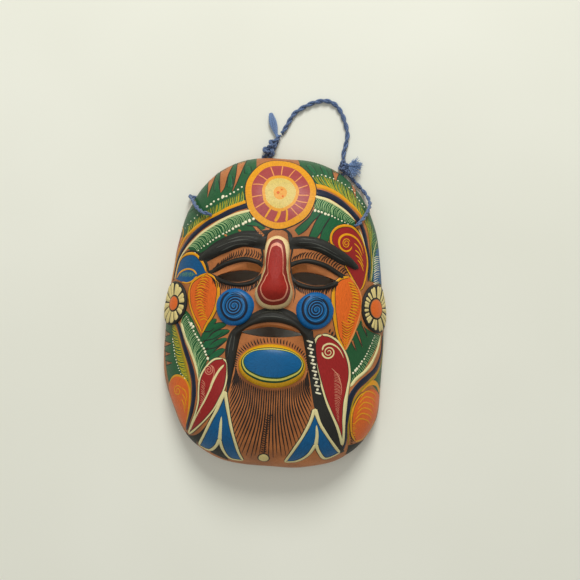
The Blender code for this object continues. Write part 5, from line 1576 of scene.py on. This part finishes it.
def make_ear(name, side, middle_y, radius, boss, shift, petals):
    """Black disc with cream petals from an orange boss, set nearer the face, out to its edge."""
    def ear_rise(u, v):
        share = np.minimum(np.hypot(u, v) / radius, 1.0)
        return 0.6 + 1.8 * (0.35 + 0.65 * np.sqrt(np.maximum(1.0 - share**4, 0.0)))

    turn = np.arange(96)[None, :] * 2 * math.pi / 96
    share = np.concatenate([np.linspace(1, 0.5, 12), np.linspace(0.45, 0.04, 9)])[:, None]
    u, v = radius * share * np.cos(turn), radius * share * np.sin(turn)
    skin = ear_points(side, middle_y, u, v)
    disc = surface(name + "_disc", [(np.concatenate([raised(skin[:1], np.full((1, 96), -0.5)),
        raised(skin, ear_rise(u, v))]), True, True, 0.3)], BLACK, 80.0)
    tidy_normals(disc)
    disc.data.shade_smooth()
    place(disc, "root", "black_paint", name)
    fit = np.array([0.0, 0.2, 0.45, 0.7, 0.85, 0.94, 0.985, 1.0])[:, None]
    w = np.array([-1, -0.9, 0, 0.9, 1.0])[None, :]
    for k in range(petals):
        angle = (k + 0.5) * 2 * math.pi / petals + rng.normal(0, 0.03)
        half = (math.pi / petals - 0.035) * np.sqrt(np.clip(1 - np.clip((fit - 0.8) / 0.2, 0, 1) ** 2, 0.02,
            1))
        ray = angle + half * w
        inwards = shift * np.cos(ray)
        reach = -inwards + np.sqrt(inwards**2 - shift**2 + (0.93 * radius) ** 2)
        reach = boss + 0.4 + (reach - boss - 0.4) * fit
        u, v = shift + reach * np.cos(ray), reach * np.sin(ray)
        lay("petals_cream", ear_points(side, middle_y, u, v), ear_rise(u, v)
            + np.where(np.abs(w) > 0.95, -0.1, 0.14))

    def boss_at(s, t):
        return ear_points(side, middle_y, shift + boss * s * np.cos(t), boss * s * np.sin(t))

    return make_rings(name + "_boss", lambda s, t: boss_at(s, t)[..., 0], lambda s, t: boss_at(s, t)[..., 1],
        lambda s, x, y: 2.5 + 0.6 * np.sqrt(np.maximum(1 - s**2, 0)) + 0.0 * x, ((1.0, BLACK),
        (0.9, TERRACOTTA), (0.82, ORANGE)), 60, 0.01)


def make_sun():
    """Sun on the forehead: yellow ring, rose rays parted by pale lines, cream disc, yellow eye."""
    cx, cy, rx, ry = -0.5, 74.5, 21.8, 22.4

    def waver(t):
        return 1.0 + 0.014 * np.sin(3 * t + 1.0) + 0.008 * np.sin(7 * t)

    disc = make_rings("sun_disc", lambda s, t: cx + rx * s * waver(t) * np.cos(t), lambda s,
        t: cy + ry * s * waver(t) * np.sin(t), lambda s, x, y: SHAPE + 0.12 + 0.0 * x, [(1.0, SUN_YELLOW),
        (0.825, ROSE), (0.52, SUN_YELLOW), (0.435, SUN_CREAM), (0.19, SUN_YELLOW)], 144, 0.01)
    place(disc, "root", "yellow_paint")
    turn = np.linspace(0.0, 2 * math.pi, 41)
    stroke("thin_black", np.column_stack([cx + (rx + 0.2) * waver(turn) * np.cos(turn), cy + (ry + 0.2)
        * waver(turn) * np.sin(turn)]), 1.0, EDGE, (0, 0))
    for outer, inner, width in ((88, 90, 0.8), (113, 113, 0.8), (143, 138, 0.8), (166, 157, 0.8),
            (192, 191, 0.8), (215, 215, 0.9), (242, 242, 1.3), (263, 273, 2.2), (285, 295, 1.5),
            (311, 308, 0.8), (327, 325, 0.8), (343, 336, 0.8), (358, 355, 0.8), (19, 16, 0.8), (42, 39, 0.8),
            (61, 65, 0.8)):
        a, b = math.radians(outer), math.radians(inner)
        line = [(cx + rx * s * math.cos(t), cy + ry * s * math.sin(t)) for s, t in ((0.83, a),
            (0.67, (a + b) / 2), (0.5, b))]
        stroke("sun_lines" if width < 1.2 else "band_yellow", line, width, DOT + 0.04, (0.05, 0.05), 0.8)
    for x, y, size in ((-1.8, 74.6, 2.2), (1.2, 72.4, 1.5), (0.4, 76.6, 1.3)):
        blot("leaf_orange", x, y, size, DOT + 0.03, sides=9)


paint_ground()
paint_fingers()
paint_bands()
paint_side_leaves()
paint_low_leaves()
paint_arrows()
paint_face()
paint_cheeks()
make_sun()
for name, *shape in (("ear_rosette_left", -1.0, 2.6, 14.0, 5.0, -4.0, 14), ("ear_rosette_right", 1.0, 5.8,
        15.4, 6.6, -4.6, 22)):
    place(make_ear(name, *shape), "root", "orange_paint")
dry_coats()


# ------------------------------------------------------------------------- floor and light

def make_floor():
    """Pale laminate table top with faint clouds."""
    made, tree, shader = nodes_of("table_top")
    where = coords(tree, "Object", (1.0,) * 3)
    clouds = noise(tree, where, 3.0, 3.0)
    tree.links.new(ramp(tree, clouds, [(0.35, linear((223, 224, 211))), (0.65, linear((229, 230, 218)))]),
        shader.inputs["Base Color"])
    shader.inputs["Roughness"].default_value = 0.6
    mesh = bpy.data.meshes.new("table")
    mesh.from_pydata([(-2, -2, 0), (2, -2, 0), (2, 2, 0), (-2, 2, 0)], [], [(0, 1, 2, 3)])
    mesh.materials.append(made)
    table = bpy.data.objects.new("table", mesh)
    bpy.context.scene.collection.objects.link(table)


def make_light(name, where, size, power, colour):
    data = bpy.data.lights.new(name, "AREA")
    data.shape, data.size, data.energy, data.color = "DISK", size, power, colour
    light = bpy.data.objects.new(name, data)
    light.location = where
    aim = -np.array(where) + [0, 0.02, 0.02]
    light.rotation_euler = mathutils.Vector(aim).to_track_quat("-Z", "Y").to_euler()
    bpy.context.scene.collection.objects.link(light)


make_floor()
make_light("window", (0.06, 1.3, 1.1), 0.7, 22.0, (0.99, 0.985, 0.96))
make_light("room", (-0.5, -0.2, 1.6), 1.6, 4.4, (0.98, 0.975, 0.95))
world = bpy.data.worlds.new("room_air")
world.use_nodes = True
world.node_tree.nodes["Background"].inputs["Color"].default_value = (0.96, 0.95, 0.91, 1)
world.node_tree.nodes["Background"].inputs["Strength"].default_value = 0.4
bpy.context.scene.world = world
bpy.context.scene.view_settings.view_transform = "Standard"
